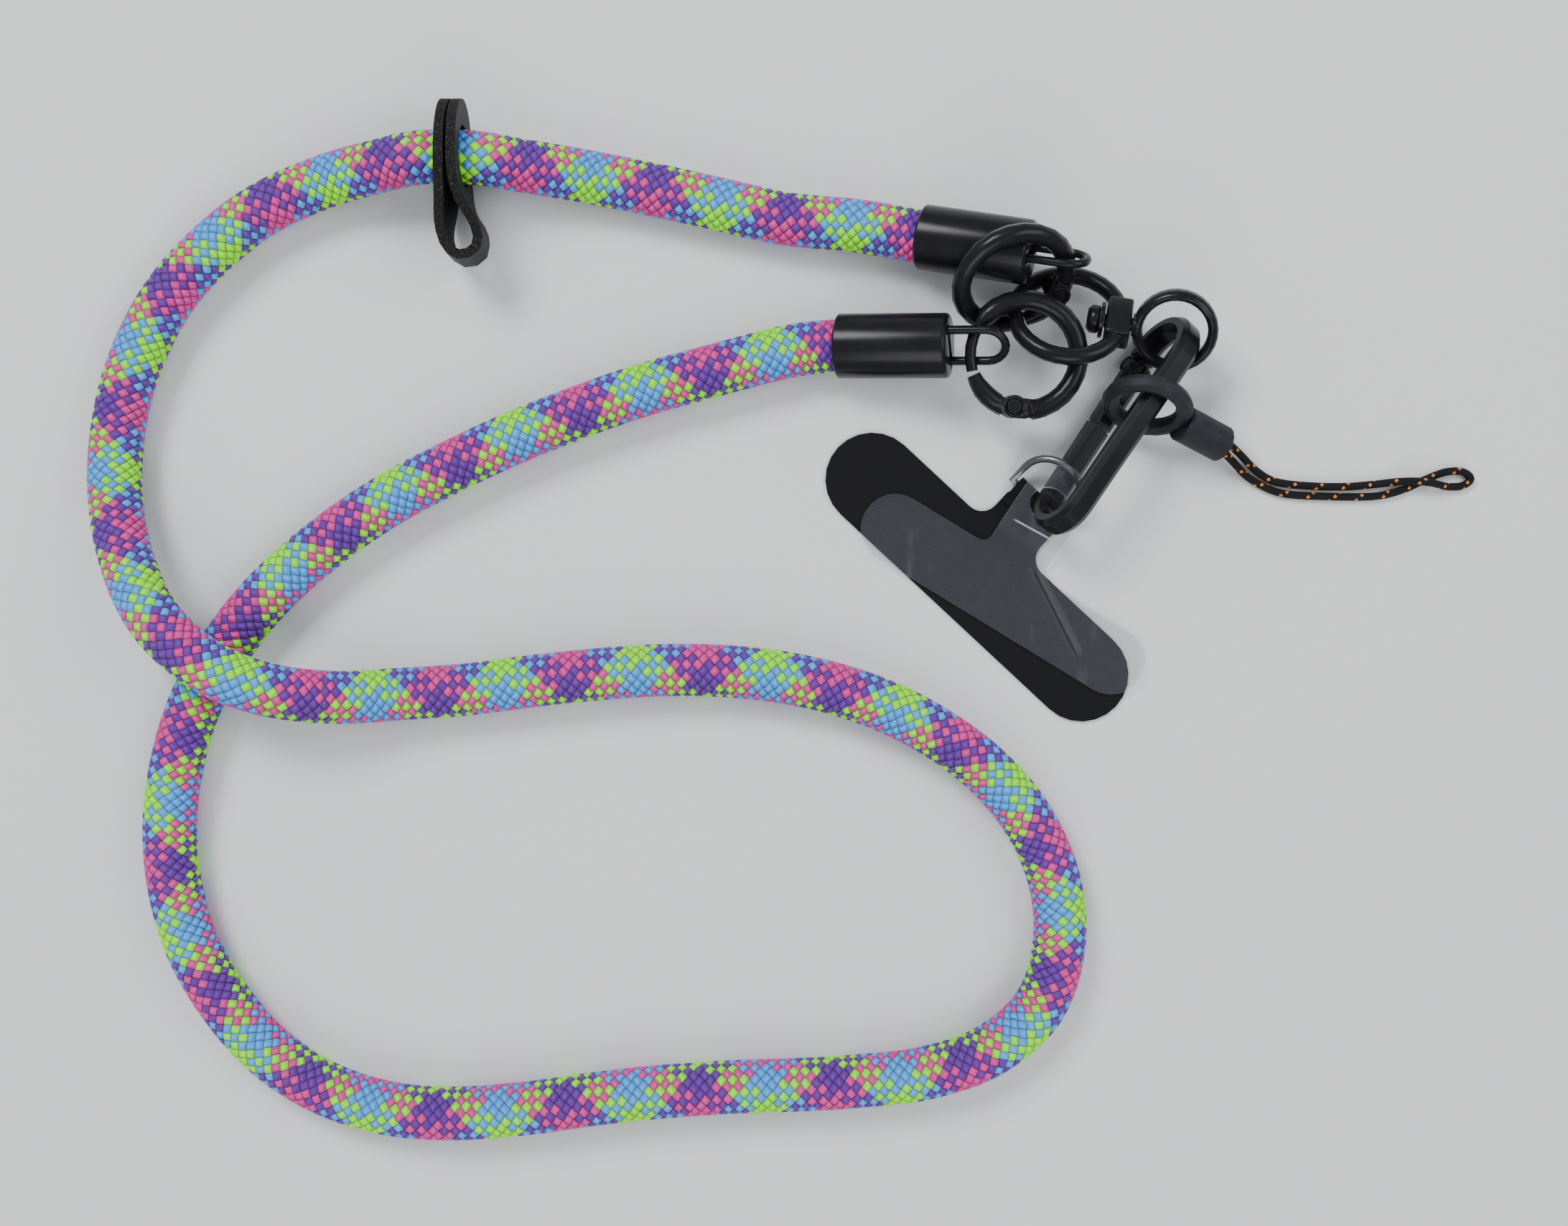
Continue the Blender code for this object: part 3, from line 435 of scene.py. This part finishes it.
def copied(node: bpy.types.Object, name: str, sharp: float, bevel: float = 0.0) -> bpy.types.Object:
    """A merged, smooth-shaded copy of a solid, in its place.

    Args:
        node: the solid.
        name: of the copy.
        sharp: edges whose faces meet at more than this many degrees stay sharp.
        bevel: width of the rounded edges in metres, 0 for none.

    Returns:
        The copy.
    """
    made = bmesh.new()
    made.from_mesh(node.data)
    bmesh.ops.remove_doubles(made, verts=made.verts, dist=MERGE)
    bmesh.ops.dissolve_degenerate(made, edges=made.edges, dist=TINY)
    bmesh.ops.dissolve_limit(made, angle_limit=FLAT, verts=made.verts, edges=made.edges)
    for face in made.faces:
        face.smooth = True
    for edge in made.edges:
        edge.smooth = edge.is_manifold and edge.calc_face_angle(0.0) < math.radians(sharp)
    mesh = bpy.data.meshes.new(name)
    made.to_mesh(mesh)
    made.free()
    piece = bpy.data.objects.new(name, mesh)
    bpy.context.scene.collection.objects.link(piece)
    if bevel:
        soft = piece.modifiers.new("Edge", "BEVEL")
        soft.width = bevel
        soft.segments = 2
        soft.limit_method = "ANGLE"
        soft.angle_limit = math.radians(sharp)
        soft.harden_normals = True
    return piece


def dress(piece: bpy.types.Object, material: bpy.types.Material) -> None:
    """Gives a piece one material."""
    piece.data.materials.clear()
    piece.data.materials.append(material)


def report(piece: bpy.types.Object) -> None:
    """Logs a finished piece."""
    log.info("%s: %d faces", piece.name, len(piece.data.polygons))


@dataclass(frozen=True)
class Braid:
    """The rope's finish: strands in four colours, each passing over one and under one.

    The UV map holds the numbers of the two strands that cross at a place. A whole number is the middle of
    a strand. The sum of the two, odd or even, tells which strand lies on top.
    """

    pink: Triple = (0.66, 0.055, 0.31)
    purple: Triple = (0.135, 0.034, 0.33)
    lime: Triple = (0.29, 1.0, 0.008)
    sky: Triple = (0.080, 0.36, 0.88)
    strands: int = 12
    group: int = 3
    # Shares of painted shade at a strand's edges and where it dives under the next one.
    edge_painted_shade: float = 0.66
    dive_painted_shade: float = 0.42
    plies: float = 18.0
    fuzz_scale: float = 9000.0
    cushion_depth: float = 0.50 * MM
    thread_depth: float = 0.20 * MM

    def pick(self, shader: Shader, index: Socket) -> Socket:
        """Returns: the colour of the strand with that number, a group of each colour in turn."""
        turn = index.mod(self.strands)
        colour = shader.mix(turn > self.group - 0.5, self.pink, self.purple)
        colour = shader.mix(turn > 2 * self.group - 0.5, colour, self.lime)
        return shader.mix(turn > 3 * self.group - 0.5, colour, self.sky)

    def material(self) -> bpy.types.Material:
        """Returns: the braid, with painted shade at a strand's edges and where it dives under the next one.
        """
        shader = Shader(Slot.BRAID.value)
        u, v = shader.along()
        cell_u, cell_v = (u + 0.5).math("FLOOR"), (v + 0.5).math("FLOOR")
        left_over = (cell_u + cell_v).mod(2) > 0.5
        off_u, off_v = u - cell_u, v - cell_v
        colour = shader.mix(left_over, self.pick(shader, cell_u), self.pick(shader, cell_v))
        across = off_v * (1 - left_over) + off_u * left_over
        length = off_u * (1 - left_over) + off_v * left_over
        number = cell_u * 7.31 + cell_v * 3.17
        fibre = shader.noise(shader.vector(across * 15.0, length * 1.6, number), 1.0, 3.0, 0.6)
        tone = shader.noise(shader.vector(cell_u, cell_v, 0.5), 0.9, 1.0)
        edge = across.math("ABSOLUTE").step(0.30, 0.52)
        dive = length.math("ABSOLUTE").step(0.34, 0.54)
        # Painted shade: the colour is darkened towards a strand's edges, in the grooves, and where it dives
        # under the next one.
        painted_groove_shade = (1 - edge * self.edge_painted_shade) * (1 - dive * self.dive_painted_shade)
        shade = painted_groove_shade * (0.84 + fibre * 0.5) * (0.88 + tone * 0.28)
        shaded = shader.multiply(colour, shader.vector(shade, shade, shade))
        fuzz = shader.noise(shader.place(), self.fuzz_scale, 2.0)
        ply = (across * self.plies).math("SINE") * 0.5 + 0.5
        pillow = (1 - across * across * 4.0) * (1 - length * length * 2.6)
        round_top = shader.bump(pillow, 0.9, self.cushion_depth)
        normal = shader.bump(ply * 0.35 + fibre * 0.75 + fuzz * 0.25, 0.7, self.thread_depth, round_top)
        shader.set(
            Base_Color=shaded, Roughness=0.62, Normal=normal, Sheen_Weight=0.06, Sheen_Roughness=0.45,
            Specular_IOR_Level=0.22,
        )
        return shader.material


@dataclass(frozen=True)
class ThinCord:
    """The phone loop's finish: black braid with small orange flecks.

    The UV map holds the run length in millimetres and the turn round the cord.
    """

    black: Triple = (0.006, 0.006, 0.007)
    orange: Triple = (0.75, 0.23, 0.04)
    worn: Triple = (0.05, 0.048, 0.048)
    plies_along: float = 2.1
    plies_round: float = 8.0
    fleck_pitch: float = 4.9
    fuzz_scale: float = 12000.0
    ply_depth: float = 0.18 * MM

    def material(self) -> bpy.types.Material:
        """Returns: the cord, with two families of plies that cross and flecks on a long screw line."""
        shader = Shader(Slot.THIN_CORD.value)
        s, turn = shader.along()
        one = (s * self.plies_along + turn * self.plies_round).math("FRACT")
        two = (s * self.plies_along - turn * self.plies_round).math("FRACT")
        gap_one = (one - 0.5).math("ABSOLUTE") * 2.0
        gap_two = (two - 0.5).math("ABSOLUTE") * 2.0
        ply = gap_one.math("MAXIMUM", gap_two)
        run = (s / self.fleck_pitch + turn).math("FRACT")
        fleck = (run < 0.16) * ((s * 0.55 - turn * 2.0).math("FRACT") < 0.42)
        colour = shader.mix(fleck, self.black, self.orange)
        fuzz = shader.noise(shader.place(), self.fuzz_scale, 3.0)
        pale = shader.mix(fuzz * (1 - ply) * 0.3, colour, self.worn)
        normal = shader.bump((1 - ply) * 0.8 + fuzz * 0.4, 0.8, self.ply_depth)
        shader.set(Base_Color=pale, Roughness=0.75, Normal=normal, Specular_IOR_Level=0.2)
        return shader.material


@dataclass(frozen=True)
class BlackMetal:
    """Satin plating on cast metal or wire, with worn bright edges and faint pits."""

    slot: Slot = Slot.BLACK_METAL
    tint: Triple = (0.0065, 0.0065, 0.0078)
    worn: Triple = (0.20, 0.195, 0.19)
    rough: float = 0.23
    wear: float = 0.55
    metallic: float = 0.06
    edge_width: float = 0.28 * MM
    pit_depth: float = 0.16 * MM

    def material(self) -> bpy.types.Material:
        """Returns: the metal. Wear shows where a rounded normal leaves the face's own."""
        shader = Shader(self.slot.value)
        where = shader.place()
        blotch = shader.noise(where, 260.0, 4.0)
        grain = shader.noise(where, 5200.0, 3.0)
        scuff = shader.noise(shader.place((1.0, 1.0, 3.0)), 900.0, 5.0, 0.65)
        rounded = shader.node("ShaderNodeBevel", {"samples": 6}, {"Radius": self.edge_width})
        face = shader.node("ShaderNodeNewGeometry", {}, {}, "Normal")
        edge = (1 - shader.likeness(rounded, face)).step(0.004, 0.09)
        rub = edge * scuff.step(0.44, 0.62) * self.wear
        spots = scuff.step(0.70, 0.78) * 0.35 * self.wear
        share = rub.math("MAXIMUM", spots)
        dark = shader.mix(blotch, self.tint, tuple(c * 2.1 for c in self.tint))
        colour = shader.mix(share, dark, self.worn)
        rough = self.rough + blotch * 0.10 + share * 0.12 - 0.05
        normal = shader.bump(grain * 0.5 + blotch * 0.8, 0.16, self.pit_depth)
        shader.set(
            Base_Color=colour, Roughness=rough, Metallic=self.metallic + share * 0.3, Normal=normal,
            Specular_IOR_Level=0.19,
        )
        return shader.material


@dataclass(frozen=True)
class Rubber:
    """Matte blue-black rubber with a faint bloom."""

    tint: Triple = (0.0075, 0.0085, 0.013)
    bloomed: Triple = (0.026, 0.029, 0.040)
    skin_depth: float = 0.12 * MM

    def material(self) -> bpy.types.Material:
        """Returns: the rubber."""
        shader = Shader(Slot.RUBBER.value)
        where = shader.place()
        bloom = shader.noise(where, 420.0, 5.0)
        fine = shader.noise(where, 6500.0, 2.0)
        colour = shader.mix(bloom.step(0.45, 0.75) * 0.55, self.tint, self.bloomed)
        normal = shader.bump(fine * 0.6 + bloom * 0.6, 0.2, self.skin_depth)
        rough = 0.50 + bloom * 0.16
        shader.set(Base_Color=colour, Roughness=rough, Normal=normal, Specular_IOR_Level=0.32)
        return shader.material


@dataclass(frozen=True)
class TabSheet:
    """The black tab: a smooth coated sheet with a very fine weave under its coat."""

    tint: Triple = (0.0045, 0.0045, 0.0056)
    dusty: Triple = (0.016, 0.016, 0.018)
    weave_scale: float = 900.0
    weave_depth: float = 0.06 * MM

    def material(self) -> bpy.types.Material:
        """Returns: the sheet, with waves in both directions for its weave."""
        shader = Shader(Slot.TAB_SHEET.value)
        where = shader.place()
        values = {"Vector": where, "Scale": self.weave_scale}
        warp = shader.node("ShaderNodeTexWave", {"bands_direction": "X"}, values)
        weft = shader.node("ShaderNodeTexWave", {"bands_direction": "Y"}, values)
        dust = shader.noise(where, 900.0, 6.0, 0.7)
        colour = shader.mix(dust.step(0.60, 0.85) * 0.5, self.tint, self.dusty)
        normal = shader.bump(warp * 0.5 + weft * 0.5 + dust * 0.5, 0.16, self.weave_depth)
        rough = 0.66 + dust * 0.14
        shader.set(Base_Color=colour, Roughness=rough, Normal=normal, Specular_IOR_Level=0.16)
        return shader.material


@dataclass(frozen=True)
class Film:
    """Clear bluish film: glossy, with soft waves, streaks, a pale crease, painted shade along its fold and a
    painted highlight on its cut edges.

    The crease and the fold run between two points on the top face, in millimetres.
    """

    tint: Triple = (0.145, 0.158, 0.188)
    # Pale colour of the streaks and the crease, and of the painted highlight on the cut edges.
    bright: Triple = (0.66, 0.70, 0.78)
    # Painted shade along the fold's ridge.
    dark: Triple = (0.015, 0.016, 0.02)
    crease: tuple[Pair, Pair] = ((-3.0, -10.2), (5.9, -15.1))
    crease_width: float = 0.30
    fold: tuple[Pair, Pair] = ((0.8, -19.0), (10.4, -38.0))
    fold_width: float = 1.7
    fold_shade_width: float = 0.5
    wave_depth: float = 0.9 * MM

    def material(self) -> bpy.types.Material:
        """Returns: the film. Its cut edges, where the face stands upright, carry a painted highlight and are
        less clear.
        """
        shader = Shader(Slot.CLEAR_FILM.value)
        wide = shader.noise(shader.place((1.0, 1.0, 0.3)), 62.0, 3.0, 0.45)
        streak = shader.noise(shader.place((1.0, 0.28, 0.3)), 210.0, 4.0, 0.5)
        haze = shader.noise(shader.place(), 520.0, 5.0, 0.6)
        edge = shader.node("ShaderNodeLayerWeight", {}, {"Blend": 0.35}, "Facing")
        face = shader.node("ShaderNodeNewGeometry", {}, {}, "Normal")
        # Painted highlight on the cut edges, where the face stands upright; line joins it to the pale
        # crease, and both are also made less clear.
        painted_edge_highlight = 1 - shader.likeness(face, (0.0, 0.0, 1.0)).math("ABSOLUTE").step(0.35, 0.75)
        line = shader.stroke(self.crease, self.crease_width).math("MAXIMUM", painted_edge_highlight)
        fold = shader.stroke(self.fold, self.fold_width)
        painted_fold_shade = shader.stroke(self.fold, self.fold_shade_width)
        pale = (streak.step(0.58, 0.76) * 0.2).math("MAXIMUM", line * 0.8)
        colour = shader.mix(pale, self.tint, self.bright)
        # Painted shade: the fold's ridge is darkened in the colour.
        colour = shader.mix(painted_fold_shade * 0.8, colour, self.dark)
        normal = shader.bump(wide + streak * 0.35 + fold * 0.8, 0.55, self.wave_depth)
        solid = 0.095 + haze * 0.03 + streak.step(0.58, 0.78) * 0.03 + fold * 0.05
        shader.set(
            Base_Color=colour, Roughness=0.25 + haze * 0.14, Normal=normal,
            Alpha=solid + edge * 0.10 + line * 0.42, Specular_IOR_Level=0.6,
        )
        return shader.material


@dataclass(frozen=True)
class Leather:
    """Black leather: smooth grey-black faces, and raw fibrous edges.

    The UV map's second value is over 1 on an edge and 0 on a face.
    """

    face: Triple = (0.011, 0.011, 0.013)
    scuffed: Triple = (0.028, 0.028, 0.031)
    raw: Triple = (0.0065, 0.006, 0.006)
    fibres: Triple = (0.115, 0.108, 0.104)
    grain_scale: float = 1900.0
    grain_depth: float = 0.3 * MM

    def material(self) -> bpy.types.Material:
        """Returns: the leather, with a pebbled grain on its faces and coarse fibres on its edges."""
        shader = Shader(Slot.LEATHER.value)
        _, part = shader.along()
        where = shader.place()
        edge = part.step(0.99, 1.01)
        values = {"Vector": where, "Scale": self.grain_scale}
        grain = shader.node("ShaderNodeTexVoronoi", {"feature": "SMOOTH_F1"}, values)
        fibre = shader.noise(shader.place((1.0, 1.0, 2.2)), 3600.0, 6.0, 0.72)
        scuff = shader.noise(where, 480.0, 5.0)
        face = shader.mix(scuff.step(0.45, 0.8), self.face, self.scuffed)
        raw = shader.mix(fibre.step(0.52, 0.68), self.raw, self.fibres)
        colour = shader.mix(edge, face, raw)
        height = grain * 0.35 * (1 - edge) + fibre * (0.35 + edge * 1.6)
        normal = shader.bump(height, 0.7, self.grain_depth)
        rough = 0.60 + edge * 0.3
        shader.set(Base_Color=colour, Roughness=rough, Normal=normal, Specular_IOR_Level=0.25)
        return shader.material


class Model:
    """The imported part: its solids, and the body that each of them rides on."""

    def __init__(self, frame: dict[str, Any]) -> None:
        """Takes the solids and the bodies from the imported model's frame."""
        self.nodes = frame["nodes"]
        self.body_of = {n: b for b, ns in frame["record"]["behaviour"]["bodies"].items() for n in ns}

    def finish(
        self, node: str, material: bpy.types.Material, sharp: float, bevel: float = 0.0
    ) -> None:
        """Puts a finished copy in the place of a solid.

        Args:
            node: the solid's name.
            material: the copy's material.
            sharp: the angle in degrees from which its edges stay sharp.
            bevel: width of its rounded edges in metres, 0 for none.
        """
        piece = copied(self.nodes[node], node + "_finished", sharp, bevel)
        dress(piece, material)
        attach(piece, self.body_of[node])
        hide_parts(node)
        report(piece)


@dataclass(frozen=True)
class Rope:
    """The braided rope: a tube whose skin follows the crossings of its strands.

    A strand passes round the rope once in turn_length. Across a strand lie three lattice lines: its edge,
    at knots[0], and the two shoulders of its cushion. lifts are the shares of the relief at a cushion's
    corners, at its sides and inside it.
    """

    step: float = 1.5
    turn_length: float = 25.5 * MM
    radius: float = 4.80 * MM
    relief: float = 0.44 * MM
    strands: int = 12
    knots: tuple[float, ...] = (0.0, 0.22, 0.78)
    lifts: tuple[float, ...] = (-0.75, -0.08, 0.62)

    def number(self, k: np.ndarray) -> np.ndarray:
        """Returns: the strand number of each lattice line k."""
        return np.floor_divide(k, 3) + np.array(self.knots)[np.mod(k, 3)] - 0.5

    def skin(self, line: Line) -> bpy.types.Object:
        """Builds the skin on a skew lattice of the strand numbers u and v.

        The turn round the axis is half of their sum, and the run along it half of their difference. Each
        crossing is a cushion of nine points whose radius is lowest at its corners and highest inside.

        Args:
            line: the centre line.

        Returns:
            The rope piece; its UV map holds u and v.
        """
        wide = 3 * self.strands
        rows = int(line.run[-1] / self.turn_length * 2 * wide) - 2
        p, e = np.meshgrid(np.arange(wide), np.arange(rows + 1))
        q = p + e
        u, v = self.number(p), self.number(q)
        turn = 2 * np.pi * (u + v) / (2 * self.strands)
        run = np.clip(self.turn_length * (v - u) / (2 * self.strands), 0, line.run[-1])
        high = (np.mod(p, 3) > 0).astype(int) + (np.mod(q, 3) > 0)
        radius = self.radius + self.relief * np.array(self.lifts)[high]
        points = line.at(run.ravel(), turn.ravel(), radius.ravel())
        p, e = (a.ravel() for a in np.meshgrid(np.arange(wide), np.arange(1, rows)))
        q = p + e
        after = np.mod(p + 1, wide)
        faces = np.stack([e * wide + p, (e - 1) * wide + after, e * wide + after, (e + 1) * wide + p], 1)
        corners = ((p, q), (p + 1, q), (p + 1, q + 1), (p, q + 1))
        uv = np.stack([np.stack([self.number(a), self.number(b)], -1) for a, b in corners], 1)
        return make_piece("rope_braid", points, faces, uv)

    def build(self) -> None:
        line = Line.through(ROPE_ROUTE, self.step)
        rope = self.skin(line)
        dress(rope, Braid().material())
        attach(rope, "strap")
        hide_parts("strap_rope")
        report(rope)


@dataclass(frozen=True)
class PhoneLoop:
    """The thin phone loop cord: a round tube that is drawn in to a closed tip at both ends.

    tip and shoulder are the shares of the radius at the last and the last but one circle of each end.
    """

    step: float = 0.5
    radius: float = 0.75 * MM
    sides: int = 16
    tip: float = 0.05
    shoulder: float = 0.8

    def skin(self, line: Line) -> bpy.types.Object:
        """Builds the tube: at each run length, a circle across the line.

        Args:
            line: the centre line.

        Returns:
            The cord piece; its UV map holds run length in millimetres and turns.
        """
        s, turn = np.meshgrid(line.run, np.arange(self.sides) / self.sides, indexing="ij")
        size = np.full(s.shape, self.radius)
        size[[0, -1]] *= self.tip
        size[[1, -2]] *= self.shoulder
        points = line.at(s.ravel(), 2 * np.pi * turn.ravel(), size.ravel())
        spans = np.arange(len(line.run) - 1), np.arange(self.sides)
        i, j = (a.ravel() for a in np.meshgrid(*spans, indexing="ij"))
        k = np.mod(j + 1, self.sides)
        here, there = i * self.sides, (i + 1) * self.sides
        faces = np.stack([here + j, here + k, there + k, there + j], 1)[:, ::-1]
        run = line.run / MM
        corners = ((i, j), (i, j + 1), (i + 1, j + 1), (i + 1, j))
        uv = np.stack([np.stack([run[a], b / self.sides], -1) for a, b in corners], 1)[:, ::-1]
        return make_piece("thin_cord_braid", points, faces, uv)

    def build(self) -> None:
        line = Line.through(CORD_ROUTE, self.step)
        cord = self.skin(line)
        dress(cord, ThinCord().material())
        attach(cord, "strap")
        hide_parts("phone_loop_cord")
        report(cord)


@dataclass(frozen=True)
class Keeper:
    """The folded leather strip. It stands on edge, so a face that looks up or down is a raw edge."""

    sharp: float = 40.0
    edge_tilt: float = 0.45
    edge_mark: float = 2.0

    def build(self, model: Model) -> None:
        """Copies the strip's solid, marks its raw edges in the UV map's second value and dresses it."""
        piece = copied(model.nodes["leather_keeper"], "keeper_leather", self.sharp)
        mesh = piece.data
        normals = np.zeros(len(mesh.polygons) * 3)
        mesh.polygons.foreach_get("normal", normals)
        counts = np.zeros(len(mesh.polygons), np.int32)
        mesh.polygons.foreach_get("loop_total", counts)
        mark = np.where(np.abs(normals[2::3]) > self.edge_tilt, self.edge_mark, 0.0)
        pairs = np.stack([np.zeros(len(counts)), mark], 1).repeat(counts, 0)
        layer = mesh.uv_layers.new(name="UVMap")
        layer.data.foreach_set("uv", pairs.astype(np.float32).ravel())
        dress(piece, Leather().material())
        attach(piece, "strap")
        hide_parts("leather_keeper")
        report(piece)


@dataclass(frozen=True)
class Hardware:
    """The plated parts, the tab's wire ring and the rubber ring.

    Wire is made of flat facets, so the edges of a wire part stay sharp from a wider angle only.
    """

    plated: tuple[str, ...] = (
        "ferrule_upper", "ferrule_lower", "bail_upper", "bail_lower",
        "ring_upper_body", "ring_upper_gate", "ring_upper_pin",
        "ring_lower_body", "ring_lower_gate", "ring_lower_pin",
        "swivel_loop", "swivel_ring", "carabiner_body", "carabiner_gate", "carabiner_pin",
    )
    wires: tuple[str, ...] = (
        "bail_upper", "bail_lower", "ring_upper_body", "ring_upper_gate", "ring_lower_body",
        "ring_lower_gate", "swivel_loop", "swivel_ring",
    )
    bevel: float = 0.16 * MM
    sharp: float = 32.0
    wire_sharp: float = 58.0
    d_ring_sharp: float = 50.0
    rubber_sharp: float = 38.0

    def build(self, model: Model) -> None:
        """Finishes every part in its own material."""
        black = BlackMetal().material()
        wire = BlackMetal(
            Slot.WIRE_METAL, tint=(0.12, 0.12, 0.125), worn=(0.50, 0.50, 0.50), rough=0.30, wear=0.4,
            metallic=0.9,
        ).material()
        for node in self.plated:
            sharp = self.wire_sharp if node in self.wires else self.sharp
            model.finish(node, black, sharp, self.bevel)
        model.finish("tab_d_ring", wire, self.d_ring_sharp)
        model.finish("rubber_ring", Rubber().material(), self.rubber_sharp)


@dataclass(frozen=True)
class PhoneTabs:
    """The two T-shaped sheets that lie inside a phone case."""

    sharp: float = 32.0
    sheet_bevel: float = 0.08 * MM
    film_bevel: float = 0.09 * MM

    def build(self, model: Model) -> None:
        """Finishes the black tab and the clear tab."""
        model.finish("tab_black", TabSheet().material(), self.sharp, self.sheet_bevel)
        model.finish("tab_clear", Film().material(), self.sharp, self.film_bevel)


@dataclass(frozen=True)
class Lamp:
    """A square area light that faces the origin: its name, its place, its watts and its side in metres."""

    name: str
    where: Triple
    power: float
    size: float

    def build(self) -> None:
        """Adds the light."""
        data = bpy.data.lights.new(self.name, "AREA")
        data.energy = self.power
        data.size = self.size
        lamp = bpy.data.objects.new(self.name, data)
        lamp.location = self.where
        lamp.rotation_euler = (-Vector(self.where)).to_track_quat("-Z", "Y").to_euler()
        bpy.context.scene.collection.objects.link(lamp)


@dataclass(frozen=True)
class Studio:
    """Floor, three soft lights, a pale world and the camera straight above."""

    camera_at: Triple = (-0.04711, -0.02855, 0.380)
    lens: float = 44.74
    sensor: float = 36.0
    floor_half: float = 2.0
    floor_tint: Triple = (0.71, 0.715, 0.725)
    sky_tint: Triple = (0.93, 0.95, 1.0)
    sky_strength: float = 0.50
    lamps: tuple[Lamp, ...] = (
        Lamp("key", (-0.55, 0.65, 0.95), 12.5, 0.45),
        Lamp("fill", (0.75, 0.10, 0.90), 5.6, 0.7),
        Lamp("back", (-0.05, -0.85, 0.80), 5.6, 0.7),
    )

    def build(self) -> None:
        """Builds the floor, the lights, the world and the camera."""
        self.floor()
        for lamp in self.lamps:
            lamp.build()
        world = bpy.data.worlds.new("soft")
        world.use_nodes = True
        sky = world.node_tree.nodes["Background"]
        sky.inputs[0].default_value = (*self.sky_tint, 1.0)
        sky.inputs[1].default_value = self.sky_strength
        bpy.context.scene.world = world
        self.camera()

    def floor(self) -> None:
        """Lays a matt floor under the strap."""
        half = self.floor_half
        points = np.array([[-half, -half, 0], [half, -half, 0], [half, half, 0], [-half, half, 0]])
        floor = make_piece("floor", points, np.array([[0, 1, 2, 3]]), smooth=False)
        shader = Shader("floor")
        shader.set(Base_Color=self.floor_tint, Roughness=0.85)
        dress(floor, shader.material)

    def camera(self) -> None:
        """Hangs the camera straight above the middle of the photo's view."""
        camera = bpy.data.cameras.new("camera")
        camera.lens = self.lens
        camera.sensor_width = self.sensor
        camera.clip_start = 0.01
        seen = bpy.data.objects.new("camera", camera)
        seen.location = self.camera_at
        bpy.context.scene.collection.objects.link(seen)
        bpy.context.scene.camera = seen


def main() -> None:
    """Loads the frame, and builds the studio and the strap's pieces in order."""
    logging.basicConfig(level=logging.INFO, format="%(message)s")
    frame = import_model()
    Studio().build()
    model = Model(frame)
    Rope().build()
    PhoneLoop().build()
    Keeper().build(model)
    Hardware().build(model)
    PhoneTabs().build(model)
    bpy.context.view_layer.update()


if __name__ == "__main__":
    main()
